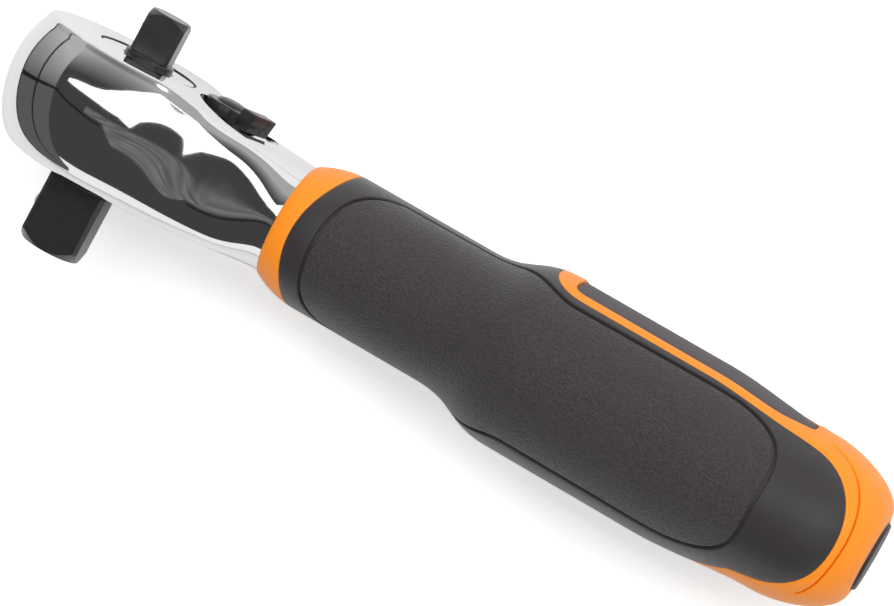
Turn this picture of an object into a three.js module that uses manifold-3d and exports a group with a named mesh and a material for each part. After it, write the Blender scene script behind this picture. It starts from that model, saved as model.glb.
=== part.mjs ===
// Double-ended ratchet handle: a forged chrome head with a square on each face, on a moulded grip.
// Millimetres. The handle runs along +X, the drive axis along Y (+Y is the lever's face) and +Z is up.
// The pieces are drawn about the middle of the head, and the finished group is moved so that
// the centre of the large square's end face is the origin.
import * as THREE from 'three';
import { mergeVertices } from 'three/addons/utils/BufferGeometryUtils.js';
import Module from 'manifold-3d';

// Clearances: moulded seats, running fits, and the air left in blind holes.
const SEAT_GAP = 0.3;
const RUN_GAP = 0.3;
const BORE_GAP = 0.2;
const END_GAP = 0.4;

// Drive squares: width across the flats, radius of the turned corners, length, end chamfer, turn at rest.
const LARGE_SQUARE = 9.525;
const LARGE_CORNER_RADIUS = 6.3;
const LARGE_LENGTH = 11.3;
const LARGE_CHAMFER = 1.65;
const SMALL_SQUARE = 6.35;
const SMALL_CORNER_RADIUS = 4.1;
const SMALL_LENGTH = 6.9;
const SMALL_CHAMFER = 1.0;
const SPINDLE_TURN = THREE.MathUtils.degToRad(7.5);

// Detent balls: radius, height above the flat, distance from the square's end, bore depth past the axis.
const LARGE_BALL_RADIUS = 1.65;
const LARGE_BALL_PROUD = 0.9;
const LARGE_BALL_FROM_END = 6.0;
const LARGE_BORE_PAST_AXIS = 1.2;
const SMALL_BALL_RADIUS = 1.05;
const SMALL_BALL_PROUD = 0.45;
const SMALL_BALL_FROM_END = 3.1;
const SMALL_BORE_PAST_AXIS = 1.0;

// Forged head: faces above and below its middle, barrel side, edge rounds.
const HEAD_TOP = 10.3;
const HEAD_BOTTOM = 9.9;
const HEAD_RADIUS = 18.45;
const HEAD_BELLY = 2.0;
const TOP_FACE_RADIUS = 15.9;
const TOP_EDGE_ROUND = 0.9;
const BOTTOM_FACE_RADIUS = 12.5;

// Neck and tang: length from the drive axis, half-sizes of the neck, where its shoulders and taper lie, tang rod.
// Its section is nearly square at the shoulders and oval at the grip: the powers set how square.
const NECK_END = 31.0;
const NECK_HALF_HEIGHT = 8.9;
const NECK_HALF_WIDTH = 9.45;
const SHOULDER_START = 6.0;
const SHOULDER_END = 20.0;
const UNDER_START = 12.0;
const TAPER_END = 21.0;
const NECK_POWER = 2.2;
const SHOULDER_POWER = 5.0;
const TANG_RADIUS = 5.0;
const TANG_LENGTH = 80.0;

// Gear train: toothed ring of the spindle, its journals and the cover over it.
const GEAR_TEETH = 72;
const GEAR_TIP_RADIUS = 7.4;
const GEAR_TOOTH_DEPTH = 0.55;
const GEAR_WIDTH = 10.3;
const FLOOR_THICKNESS = 3.9;
const LOWER_JOURNAL_RADIUS = 6.5;
const LOWER_JOURNAL_PROUD = 1.3;
const UPPER_JOURNAL_RADIUS = 4.0;
const UPPER_JOURNAL_PROUD = 1.0;
const GEAR_HUB_RADIUS = 5.6;
const COVER_RADIUS = 8.0;
const COVER_THICKNESS = 2.2;

// Spring rings: section of the wire, how deep it sits in the inner groove, opening of the split.
const RING_WIRE = 1.0;
const RING_SEAT = 0.55;
const RING_SPLIT = THREE.MathUtils.degToRad(24);

// Rocking pawl: angle of its two noses, swing to each side, height, pin, teeth on each nose.
const NOSE_ANGLE = THREE.MathUtils.degToRad(45);
const NOSE_TEETH = 3;
const NOSE_THICKNESS = 2.6;
const PAWL_SWING = THREE.MathUtils.degToRad(3.2);
const PAWL_HEIGHT = 8.4;
const PAWL_PIN_RADIUS = 1.2;
const PAWL_PIN_SEAT = 1.9;
const TOOTH_BITE = 0.25;

// Reversing lever: pivot, throw to each side, hub set back from the pivot, arm, thumb tab and post.
const LEVER_X = 16.8;
const LEVER_THROW = THREE.MathUtils.degToRad(28);
const LEVER_SEAT = 8.4;
const LEVER_SETBACK = 2.6;
const LEVER_HUB_RADIUS = 4.0;
const LEVER_PLATE = 1.9;
const LEVER_DOME_RADIUS = 2.6;
const LEVER_DOME_HEIGHT = 0.8;
const LEVER_DOME_FLAT = 1.8;
const LEVER_ARM = 4.4;
const LEVER_ARM_HALF = 2.5;
const TAB_LENGTH = 3.2;
const TAB_HEIGHT = 1.2;
const POST_RADIUS = 3.0;
const SEAL_WIRE = 0.8;
const SEAL_DEPTH = 0.7;

// Spring plunger in the lever's post.
const PLUNGER_RADIUS = 0.8;
const PLUNGER_PROUD = 0.55;
const PLUNGER_LENGTH = 2.2;
const PLUNGER_BORE_PAST_AXIS = 1.6;

// Coil springs behind the balls and the plunger.
const SPRING_WIRE = 0.24;
const SPRING_PITCH = 0.7;

// Grip outline along X: half-heights and lengths of collar, waist, swell, palm, taper and butt.
const COLLAR_HALF = 9.35;
const COLLAR_LENGTH = 7.2;
const WAIST_HALF = 11.2;
const WAIST_LENGTH = 22.0;
const SWELL_LENGTH = 14.0;
const PALM_HALF = 14.4;
const PALM_LENGTH = 25.5;
const TAIL_HALF = 12.95;
const TAIL_LENGTH = 19.0;
const BUTT_HALF = 6.2;
const BUTT_LENGTH = 12.9;
const BUTT_FULLNESS = 0.4;
const BUTT_SHOULDER = 0.42;
const WIDTH_RATIO = 1.06;
const SECTION_POWER = 2.2;

// Rubber sleeve on the core: wall and front edge, inlay from the palm, tongue back towards the butt.
const SLEEVE_WALL = 2.8;
const COLLAR_BAND = 3.1;
const COLLAR_BAND_TOP = 6.3;
const INLAY_LEVEL = 12.4;
const INLAY_TIP = 3.0;
const INLAY_FULL = 3.8;
const TONGUE_SHOULDER = 3.7;
const TONGUE_LEVEL = 11.1;
const TONGUE_END = 4.6;
const TONGUE_DROP = 1.0;
const TONGUE_ROUND = 2.0;
const HEEL_REACH = 12.5;
const HEEL_ROUND = 7.0;
const INLAY_ROUND = 1.0;
const STEM_MARGIN = 0.8;

// Textured side pads let into the sleeve.
const PAD_WALL = 1.4;
const PAD_GROOVE = 0.45;
const PAD_FRONT = 7.1;
const PAD_CORNER = 7.0;
const PAD_CORNER_PULL = 2.8;
const PAD_BOW = 9.0;
const PAD_LEVEL = 11.4;
const PAD_SHOULDER = 4.7;
const PAD_SHOULDER_RUN = 4.5;
const PAD_REAR = 4.8;
const PAD_REAR_CORNER = 9.0;
const PAD_REAR_DROP = 1.5;
const PAD_STEM_WALL = 1.2;
const SPINE_HALF = 2.2;

// Label insert in the inlay, and the plug in the butt.
const INSERT_FRONT = 0.7;
const INSERT_REAR = 3.0;
const INSERT_HALF = 6.4;
const INSERT_TAIL_HALF = 4.0;
const INSERT_TAIL = 9.0;
const INSERT_ROUND = 1.6;
const INSERT_SINK = 0.3;
const INSERT_WALL = 1.0;
const CAP_RADIUS = 5.6;
const CAP_RIM = 0.5;
const CAP_THICKNESS = 1.2;
const CAP_STEM_RADIUS = 3.0;
const CAP_STEM = 5.0;

// Facets of round pieces, of the head, and of the grip.
const ROUND_SIDES = 32;
const SMALL_SIDES = 20;
const HEAD_SIDES = 40;
const NECK_SIDES = 8;
const FACE_STEPS = 4;
const GRIP_SIDES = 24;
const CURVE_STEPS = 4;
const WIRE_SIDES = 6;
const TURN_STEPS = 10;
const BEYOND = 30.0;
const WELD = 1e-4;

// Places worked out from the sizes above.
const FLOOR_Y = FLOOR_THICKNESS - HEAD_BOTTOM;
const GEAR_BOTTOM = FLOOR_Y + RUN_GAP;
const GEAR_TOP = GEAR_BOTTOM + GEAR_WIDTH;
const COVER_TOP = HEAD_TOP - BORE_GAP;
const COVER_BOTTOM = COVER_TOP - COVER_THICKNESS;
const GEAR_BORE_RADIUS = GEAR_TIP_RADIUS + RUN_GAP;
const COVER_BORE_RADIUS = COVER_RADIUS + BORE_GAP;
const GEAR_ROOT_RADIUS = GEAR_TIP_RADIUS - GEAR_TOOTH_DEPTH;
const TOOTH_PITCH = (2 * Math.PI) / GEAR_TEETH;
const LARGE_TOP = -HEAD_BOTTOM - LOWER_JOURNAL_PROUD;
const LARGE_END = LARGE_TOP - LARGE_LENGTH;
const SMALL_BASE = COVER_TOP + UPPER_JOURNAL_PROUD;
const SMALL_END = SMALL_BASE + SMALL_LENGTH;
const PAWL_X = GEAR_TIP_RADIUS / Math.cos(NOSE_ANGLE);
const NOSE_LIFT = PAWL_X * Math.sin(NOSE_ANGLE) * Math.sin(PAWL_SWING);
const NOSE_TIP_RADIUS = GEAR_TIP_RADIUS - TOOTH_BITE + NOSE_LIFT;
const NOSE_BASE_RADIUS = NOSE_TIP_RADIUS + GEAR_TOOTH_DEPTH;
const NOSE_BACK_RADIUS = NOSE_BASE_RADIUS + NOSE_THICKNESS;
const NOSE_HALF_ANGLE = (NOSE_TEETH / 2) * TOOTH_PITCH;
const POCKET_HALF_HEIGHT = PAWL_HEIGHT / 2 + RUN_GAP;
const POCKET_MIDDLE = GEAR_TOP - GEAR_WIDTH / 2;
const PLUNGER_REACH = POST_RADIUS + PLUNGER_PROUD;
const POST_BOTTOM = POCKET_MIDDLE - POCKET_HALF_HEIGHT;
const LEVER_BASE = LEVER_SEAT + SEAT_GAP;
const GRIP_FRONT = NECK_END + SEAT_GAP;
const WAIST_X = GRIP_FRONT + COLLAR_LENGTH;
const SWELL_X = WAIST_X + WAIST_LENGTH;
const PALM_X = SWELL_X + SWELL_LENGTH;
const TAIL_X = PALM_X + PALM_LENGTH;
const BUTT_X = TAIL_X + TAIL_LENGTH;
const GRIP_END = BUTT_X + BUTT_LENGTH;
const INSERT_FRONT_X = PALM_X + INSERT_FRONT;
const INSERT_REAR_X = BUTT_X - INSERT_REAR;

const wasm = await Module();
wasm.setup();

// Closed solid of a geometry: shared corners welded, empty triangles dropped, faces outwards.
function solid(geometry) {
  const bare = geometry.clone();
  bare.deleteAttribute('normal');
  bare.deleteAttribute('uv');
  const welded = mergeVertices(bare, WELD);
  const corners = welded.index.array;
  const spots = welded.attributes.position;
  const kept = [];
  let volume = 0;
  const [a, b, c] = [new THREE.Vector3(), new THREE.Vector3(), new THREE.Vector3()];
  for (let i = 0; i < corners.length; i += 3) {
    const [p, q, r] = [corners[i], corners[i + 1], corners[i + 2]];
    if (p === q || q === r || r === p) continue;
    kept.push(p, q, r);
    a.fromBufferAttribute(spots, p);
    b.fromBufferAttribute(spots, q);
    c.fromBufferAttribute(spots, r);
    volume += a.dot(b.cross(c));
  }
  if (volume < 0) kept.reverse();
  const vertProperties = new Float32Array(spots.array);
  const triVerts = new Uint32Array(kept);
  return new wasm.Manifold(new wasm.Mesh({ numProp: 3, vertProperties, triVerts }));
}

// Geometry of a finished solid.
function geometryOf(body) {
  const mesh = body.getMesh();
  const geometry = new THREE.BufferGeometry();
  geometry.setAttribute('position', new THREE.BufferAttribute(mesh.vertProperties, 3));
  geometry.setIndex(new THREE.BufferAttribute(mesh.triVerts, 1));
  geometry.computeVertexNormals();
  return geometry;
}

// Piece turned about the Y axis from [radius, height] corners, closed on the axis or on itself.
function turned(corners, sides = ROUND_SIDES) {
  return new THREE.LatheGeometry(corners.map(([r, y]) => new THREE.Vector2(r, y)), sides);
}

// Round rod along Y between two heights.
function rod(radius, low, high, sides = ROUND_SIDES) {
  return turned([[0, low], [radius, low], [radius, high], [0, high]], sides);
}

// Round collar with a hole through it, between two heights.
function collar(inner, outer, low, high) {
  return turned([[inner, low], [outer, low], [outer, high], [inner, high], [inner, low]]);
}

// Round rod along X between two places.
function bar(radius, low, high, sides = ROUND_SIDES) {
  return rod(radius, low, high, sides).rotateZ(-Math.PI / 2);
}

// Plate whose outline is drawn in X and Z, between two heights.
function plate(shape, low, high) {
  const settings = { depth: high - low, bevelEnabled: false, curveSegments: CURVE_STEPS * 2 };
  return new THREE.ExtrudeGeometry(shape, settings).rotateX(Math.PI / 2).translate(0, high, 0);
}

// Slab whose outline is drawn in X and Y, between two levels of Z.
function slab(shape, low, high) {
  const settings = { depth: high - low, bevelEnabled: false, curveSegments: CURVE_STEPS };
  return new THREE.ExtrudeGeometry(shape, settings).translate(0, 0, low);
}

// Smooth step from 0 to 1 between two places.
function ramp(x, from, to) {
  return THREE.MathUtils.smoothstep(x, from, to);
}

// Head: a turned barrel whose +X half is drawn out into the oval neck.
function headForging() {
  const side = new THREE.Path();
  side.moveTo(0, -HEAD_BOTTOM);
  for (let step = 1; step <= FACE_STEPS; step += 1) {
    side.lineTo((BOTTOM_FACE_RADIUS * step) / FACE_STEPS, -HEAD_BOTTOM);
  }
  const lowSide = HEAD_BELLY - (HEAD_BOTTOM + HEAD_BELLY) / 2;
  const foot = (BOTTOM_FACE_RADIUS + HEAD_RADIUS) / 2;
  side.bezierCurveTo(foot, -HEAD_BOTTOM, HEAD_RADIUS, lowSide, HEAD_RADIUS, HEAD_BELLY);
  const rim = TOP_FACE_RADIUS + TOP_EDGE_ROUND;
  const rise = (HEAD_TOP - HEAD_BELLY) / 3;
  const edge = HEAD_TOP - TOP_EDGE_ROUND;
  side.bezierCurveTo(HEAD_RADIUS, HEAD_BELLY + rise, rim + TOP_EDGE_ROUND, HEAD_TOP - rise, rim, edge);
  side.quadraticCurveTo(rim - TOP_EDGE_ROUND / 4, HEAD_TOP, TOP_FACE_RADIUS, HEAD_TOP);
  for (let step = FACE_STEPS - 1; step >= 0; step -= 1) {
    side.lineTo((TOP_FACE_RADIUS * step) / FACE_STEPS, HEAD_TOP);
  }
  const corners = side.getPoints(CURVE_STEPS);
  const barrel = new THREE.LatheGeometry(corners, HEAD_SIDES);
  const spots = barrel.attributes.position;
  const quarter = HEAD_SIDES / 4;
  for (let column = 0; column <= HEAD_SIDES; column += 1) {
    const fromSide = quarter - Math.abs(column - quarter);
    if (fromSide <= 0) continue;
    const x = Math.min(fromSide / NECK_SIDES, 1) * NECK_END;
    const fold = Math.min((quarter - fromSide) / (quarter - NECK_SIDES), 1) * Math.sign(quarter - column);
    corners.forEach((corner, row) => {
      const across = corner.x / HEAD_RADIUS;
      const up = corner.y / (corner.y > 0 ? HEAD_TOP : HEAD_BOTTOM);
      const power = THREE.MathUtils.lerp(SHOULDER_POWER, NECK_POWER, ramp(x, SHOULDER_END, NECK_END));
      const pull = (across ** power + Math.abs(up) ** power) ** (-1 / power);
      const level = up > 0 ? ramp(x, SHOULDER_START, SHOULDER_END) : ramp(x, UNDER_START, NECK_END);
      const width = THREE.MathUtils.lerp(corner.x, NECK_HALF_WIDTH * across * pull, ramp(x, 0, TAPER_END));
      const height = THREE.MathUtils.lerp(corner.y, NECK_HALF_HEIGHT * up * pull, level);
      spots.setXYZ(column * corners.length + row, x, height, fold * width);
    });
  }
  return solid(barrel);
}

// Room for the gear, the cover, the pawl and the lever's post, cut from the top face.
function headBody() {
  const backX = LEVER_X - POST_RADIUS / 2;
  const pocketHalf = NOSE_BACK_RADIUS * Math.sin(NOSE_ANGLE + NOSE_HALF_ANGLE) + NOSE_LIFT + RUN_GAP;
  const pocketX = NOSE_BACK_RADIUS * Math.cos(NOSE_ANGLE - NOSE_HALF_ANGLE) + NOSE_LIFT + RUN_GAP;
  const pocket = new THREE.Shape();
  pocket.moveTo(0, -pocketHalf);
  pocket.lineTo(pocketX, -pocketHalf);
  pocket.lineTo(backX, -POST_RADIUS);
  pocket.lineTo(backX, POST_RADIUS);
  pocket.lineTo(pocketX, pocketHalf);
  pocket.lineTo(0, pocketHalf);
  pocket.closePath();
  const ringY = COVER_BOTTOM + COVER_THICKNESS / 2;
  const ringRoom = RING_WIRE / 2 + BORE_GAP;
  const ringReach = COVER_RADIUS - RING_SEAT + RING_WIRE + BORE_GAP;
  const pinReach = POCKET_HALF_HEIGHT + PAWL_PIN_SEAT + END_GAP;
  const pinRadius = PAWL_PIN_RADIUS + BORE_GAP;
  const pinHole = rod(pinRadius, POCKET_MIDDLE - pinReach, POCKET_MIDDLE + pinReach, SMALL_SIDES);
  const leverSweep = LEVER_SETBACK + LEVER_HUB_RADIUS + END_GAP;
  const postBore = rod(POST_RADIUS + RUN_GAP, POST_BOTTOM - RUN_GAP, LEVER_SEAT + BEYOND, SMALL_SIDES);
  const postReach = POST_RADIUS - RING_SEAT + RING_WIRE + BORE_GAP;
  const postGroove = rod(postReach, postRingY() - ringRoom, postRingY() + ringRoom, SMALL_SIDES);
  const cuts = [
    rod(GEAR_BORE_RADIUS, FLOOR_Y, HEAD_TOP + BEYOND),
    rod(COVER_BORE_RADIUS, COVER_BOTTOM - SEAT_GAP, HEAD_TOP + BEYOND),
    rod(ringReach, ringY - ringRoom, ringY + ringRoom),
    rod(LOWER_JOURNAL_RADIUS + RUN_GAP, -HEAD_BOTTOM - BEYOND, FLOOR_Y + RUN_GAP),
    plate(pocket, POCKET_MIDDLE - POCKET_HALF_HEIGHT, POCKET_MIDDLE + POCKET_HALF_HEIGHT),
    pinHole.translate(PAWL_X, 0, 0),
    postBore.translate(LEVER_X, 0, 0),
    postGroove.translate(LEVER_X, 0, 0),
    rod(leverSweep, LEVER_SEAT, LEVER_SEAT + BEYOND).translate(LEVER_X, 0, 0),
  ];
  const tang = bar(TANG_RADIUS, NECK_END - TANG_RADIUS, NECK_END + TANG_LENGTH);
  const forging = headForging().add(solid(tang));
  return cuts.reduce((body, cut) => body.subtract(solid(cut)), forging);
}

// Height of the spring ring on the lever's post: halfway between the pocket's roof and the seal.
function postRingY() {
  return (POCKET_MIDDLE + POCKET_HALF_HEIGHT + LEVER_SEAT - SEAL_WIRE) / 2;
}

// Split spring ring that sits half in a groove of the piece and half in a groove of its bore.
function springRing(pieceRadius, height) {
  const inner = pieceRadius - RING_SEAT + BORE_GAP;
  const outer = pieceRadius - RING_SEAT + RING_WIRE;
  const ring = new THREE.Shape();
  ring.absarc(0, 0, outer, RING_SPLIT / 2, 2 * Math.PI - RING_SPLIT / 2, false);
  ring.absarc(0, 0, inner, 2 * Math.PI - RING_SPLIT / 2, RING_SPLIT / 2, true);
  ring.closePath();
  return solid(plate(ring, height - RING_WIRE / 2, height + RING_WIRE / 2));
}

// Groove that takes the inner half of a spring ring, as a ring to cut away.
function ringGroove(pieceRadius, height) {
  const room = RING_WIRE / 2 + BORE_GAP;
  return collar(pieceRadius - RING_SEAT, pieceRadius + BEYOND, height - room, height + room);
}

// Square with turned corners and a conical end, from its base to its end along Y.
function driveSquare(width, corner, chamfer, base, end) {
  const way = Math.sign(end - base);
  const root = base - way;
  const block = new THREE.BoxGeometry(width, Math.abs(end - root), width);
  const shoulder = end - way * chamfer;
  const cone = turned([[0, root], [corner, root], [corner, shoulder], [corner - chamfer, end], [0, end]]);
  return solid(block.translate(0, (end + root) / 2, 0)).intersect(solid(cone));
}

// Ratchet teeth all round: a ring of plain vee teeth whose gaps face the pawl's noses.
function gearRing() {
  const outline = new THREE.Shape();
  for (let tooth = 0; tooth < GEAR_TEETH; tooth += 1) {
    const gap = tooth * TOOTH_PITCH;
    const tip = gap + TOOTH_PITCH / 2;
    const draw = tooth === 0 ? 'moveTo' : 'lineTo';
    outline[draw](GEAR_ROOT_RADIUS * Math.cos(gap), GEAR_ROOT_RADIUS * Math.sin(gap));
    outline.lineTo(GEAR_TIP_RADIUS * Math.cos(tip), GEAR_TIP_RADIUS * Math.sin(tip));
  }
  outline.closePath();
  return solid(plate(outline, GEAR_BOTTOM, GEAR_TOP));
}

// Bore for a detent ball, from the -X flat to a little past the axis.
function ballBore(width, radius, pastAxis, height) {
  return solid(bar(radius + BORE_GAP, -width, pastAxis, SMALL_SIDES).translate(0, height, 0));
}

const LARGE_BALL_Y = LARGE_END + LARGE_BALL_FROM_END;
const SMALL_BALL_Y = SMALL_END - SMALL_BALL_FROM_END;

// Spindle: both squares, their journals and the gear in one forging.
function driveSpindle() {
  const hubTop = COVER_BOTTOM - RUN_GAP;
  const core = turned([
    [0, LARGE_TOP], [LOWER_JOURNAL_RADIUS, LARGE_TOP], [LOWER_JOURNAL_RADIUS, GEAR_BOTTOM],
    [GEAR_HUB_RADIUS, GEAR_BOTTOM], [GEAR_HUB_RADIUS, hubTop], [UPPER_JOURNAL_RADIUS, hubTop],
    [UPPER_JOURNAL_RADIUS, SMALL_BASE], [0, SMALL_BASE],
  ]);
  const gear = gearRing().rotate([0, -THREE.MathUtils.radToDeg(SPINDLE_TURN), 0]);
  return solid(core)
    .add(gear)
    .add(driveSquare(LARGE_SQUARE, LARGE_CORNER_RADIUS, LARGE_CHAMFER, LARGE_TOP, LARGE_END))
    .add(driveSquare(SMALL_SQUARE, SMALL_CORNER_RADIUS, SMALL_CHAMFER, SMALL_BASE, SMALL_END))
    .subtract(ballBore(LARGE_SQUARE, LARGE_BALL_RADIUS, LARGE_BORE_PAST_AXIS, LARGE_BALL_Y))
    .subtract(ballBore(SMALL_SQUARE, SMALL_BALL_RADIUS, SMALL_BORE_PAST_AXIS, SMALL_BALL_Y));
}

// Detent ball on the -X flat, standing proud of it.
function detentBall(width, radius, proud, height) {
  const x = -(width / 2 + proud - radius);
  return solid(new THREE.SphereGeometry(radius, SMALL_SIDES, SMALL_SIDES / 2).translate(x, height, 0));
}

// Helix about the X axis between two places.
class Helix extends THREE.Curve {
  constructor(radius, from, to, turns) {
    super();
    Object.assign(this, { radius, from, to, turns });
  }

  getPoint(t, target = new THREE.Vector3()) {
    const angle = 2 * Math.PI * this.turns * t;
    const x = THREE.MathUtils.lerp(this.from, this.to, t);
    return target.set(x, this.radius * Math.cos(angle), this.radius * Math.sin(angle));
  }
}

// Coil spring along X that fills a bore, one unbroken wire. The least gap between its turns is printed.
function coilSpring(name, boreRadius, from, to) {
  const radius = boreRadius - BORE_GAP - SPRING_WIRE;
  const run = Math.abs(to - from) - 2 * SEAT_GAP;
  const turns = Math.floor(run / SPRING_PITCH);
  const way = Math.sign(to - from);
  const path = new Helix(radius, from + way * SEAT_GAP, to - way * SEAT_GAP, turns);
  const wire = new THREE.Shape().absarc(0, 0, SPRING_WIRE / 2, 0, 2 * Math.PI, false);
  const steps = turns * TURN_STEPS;
  const settings = { steps, extrudePath: path, curveSegments: WIRE_SIDES / 2, bevelEnabled: false };
  const points = path.getPoints(steps);
  let least = Infinity;
  for (let i = 0; i < points.length; i += 1) {
    for (let j = i + TURN_STEPS / 2; j < points.length; j += 1) {
      least = Math.min(least, points[i].distanceTo(points[j]) - SPRING_WIRE);
    }
  }
  console.log(`${name}: least gap between turns ${least.toFixed(2)} mm`);
  return solid(new THREE.ExtrudeGeometry(wire, settings));
}

// Cover plate round the small square, with a groove in its rim for the spring ring.
function coverPlate() {
  const hole = SMALL_CORNER_RADIUS + BORE_GAP;
  const disc = collar(hole, COVER_RADIUS, COVER_BOTTOM, COVER_TOP);
  return solid(disc).subtract(solid(ringGroove(COVER_RADIUS, COVER_BOTTOM + COVER_THICKNESS / 2)));
}

// Outline of one nose of the pawl: a thick arc with vee teeth towards the gear, before the pawl is rocked.
function addNose(outline, side) {
  const points = [[NOSE_BASE_RADIUS, -NOSE_HALF_ANGLE]];
  for (let tooth = 0; tooth < NOSE_TEETH; tooth += 1) {
    const start = tooth * TOOTH_PITCH - NOSE_HALF_ANGLE;
    points.push([NOSE_TIP_RADIUS, start + TOOTH_PITCH / 2], [NOSE_BASE_RADIUS, start + TOOTH_PITCH]);
  }
  points.push([NOSE_BACK_RADIUS, NOSE_HALF_ANGLE], [NOSE_BACK_RADIUS, -NOSE_HALF_ANGLE]);
  if (side < 0) points.reverse();
  for (const [radius, offset] of points) {
    const angle = side * (NOSE_ANGLE + offset);
    outline.push([radius * Math.cos(angle), radius * Math.sin(angle)]);
  }
}

// Rocking pawl with a toothed nose at each end, a pin hole and a hollow back that faces the plunger.
function pawl() {
  const hornX = LEVER_X - POST_RADIUS;
  const points = [[hornX, -POST_RADIUS]];
  addNose(points, -1);
  points.push([GEAR_TIP_RADIUS + NOSE_LIFT + RUN_GAP, 0]);
  addNose(points, 1);
  points.push([hornX, POST_RADIUS]);
  const outline = new THREE.Shape(points.map(([x, z]) => new THREE.Vector2(x, z)));
  const low = POCKET_MIDDLE - PAWL_HEIGHT / 2;
  const high = POCKET_MIDDLE + PAWL_HEIGHT / 2;
  const hollow = rod(PLUNGER_REACH + RUN_GAP, low - END_GAP, high + END_GAP);
  const hole = rod(PAWL_PIN_RADIUS + BORE_GAP, low - END_GAP, high + END_GAP, SMALL_SIDES);
  return solid(plate(outline, low, high))
    .subtract(solid(hollow.translate(LEVER_X, 0, 0)))
    .subtract(solid(hole.translate(PAWL_X, 0, 0)))
    .translate([-PAWL_X, 0, 0]);
}

// Pin that the pawl rocks on, seated in the head above and below the pocket.
function pawlPin() {
  const reach = POCKET_HALF_HEIGHT + PAWL_PIN_SEAT;
  const pin = rod(PAWL_PIN_RADIUS, POCKET_MIDDLE - reach, POCKET_MIDDLE + reach, SMALL_SIDES);
  return solid(pin.translate(PAWL_X, 0, 0));
}

// Reversing lever about its own pivot with the arm along +X: hub, dome, arm, thumb tab and post.
function reversingLever() {
  const plateTop = LEVER_BASE + LEVER_PLATE;
  const arm = new THREE.Shape();
  arm.moveTo(-LEVER_SETBACK, -LEVER_HUB_RADIUS);
  arm.quadraticCurveTo(0, -LEVER_ARM_HALF, LEVER_ARM - TAB_LENGTH, -LEVER_ARM_HALF);
  arm.lineTo(LEVER_ARM, -LEVER_ARM_HALF);
  arm.lineTo(LEVER_ARM, LEVER_ARM_HALF);
  arm.lineTo(LEVER_ARM - TAB_LENGTH, LEVER_ARM_HALF);
  arm.quadraticCurveTo(0, LEVER_ARM_HALF, -LEVER_SETBACK, LEVER_HUB_RADIUS);
  arm.closePath();
  const tab = new THREE.Shape();
  tab.moveTo(LEVER_ARM - TAB_LENGTH, LEVER_BASE);
  tab.lineTo(LEVER_ARM, LEVER_BASE);
  tab.lineTo(LEVER_ARM + TAB_HEIGHT / 2, plateTop + TAB_HEIGHT);
  tab.lineTo(LEVER_ARM - TAB_LENGTH / 2, plateTop + TAB_HEIGHT);
  tab.closePath();
  const domeBase = plateTop - LEVER_DOME_HEIGHT;
  const dome = turned([
    [0, domeBase], [LEVER_DOME_RADIUS, domeBase], [LEVER_DOME_RADIUS, plateTop],
    [LEVER_DOME_FLAT, plateTop + LEVER_DOME_HEIGHT / 2], [0, plateTop + LEVER_DOME_HEIGHT],
  ], SMALL_SIDES);
  const sealY = LEVER_SEAT - SEAL_WIRE;
  const sealRoom = SEAL_WIRE / 2 + BORE_GAP;
  const sealFloor = POST_RADIUS - SEAL_DEPTH;
  const sealGroove = collar(sealFloor, POST_RADIUS + BEYOND, sealY - sealRoom, sealY + sealRoom);
  const mouth = -PLUNGER_REACH - END_GAP;
  const bore = bar(PLUNGER_RADIUS + BORE_GAP, mouth, PLUNGER_BORE_PAST_AXIS, SMALL_SIDES);
  const post = solid(rod(POST_RADIUS, POST_BOTTOM, domeBase, SMALL_SIDES))
    .subtract(solid(sealGroove))
    .subtract(solid(ringGroove(POST_RADIUS, postRingY())))
    .subtract(solid(bore.translate(0, POCKET_MIDDLE, 0)));
  const hub = rod(LEVER_HUB_RADIUS, LEVER_BASE, plateTop);
  return solid(hub.translate(-LEVER_SETBACK, 0, 0))
    .add(solid(plate(arm, LEVER_BASE, plateTop)))
    .add(solid(slab(tab, -LEVER_ARM_HALF, LEVER_ARM_HALF)))
    .add(solid(dome.translate(-LEVER_SETBACK, 0, 0)))
    .add(post);
}

// Rubber seal ring in the lever post's upper groove.
function leverSeal() {
  const middle = POST_RADIUS - SEAL_DEPTH + SEAL_WIRE / 2 + BORE_GAP / 2;
  const ring = new THREE.TorusGeometry(middle, SEAL_WIRE / 2, WIRE_SIDES + 2, SMALL_SIDES);
  return solid(ring.rotateX(Math.PI / 2).translate(0, LEVER_SEAT - SEAL_WIRE, 0));
}

// Round-nosed plunger that the lever presses on the pawl's back, pointing along -X.
function leverPlunger() {
  const tip = -PLUNGER_REACH;
  const nose = turned([
    [0, tip], [PLUNGER_RADIUS / 2, tip + PLUNGER_RADIUS / 6], [PLUNGER_RADIUS, tip + PLUNGER_RADIUS],
    [PLUNGER_RADIUS, tip + PLUNGER_LENGTH], [0, tip + PLUNGER_LENGTH],
  ], SMALL_SIDES);
  return solid(nose.rotateZ(-Math.PI / 2).translate(0, POCKET_MIDDLE, 0));
}

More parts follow.
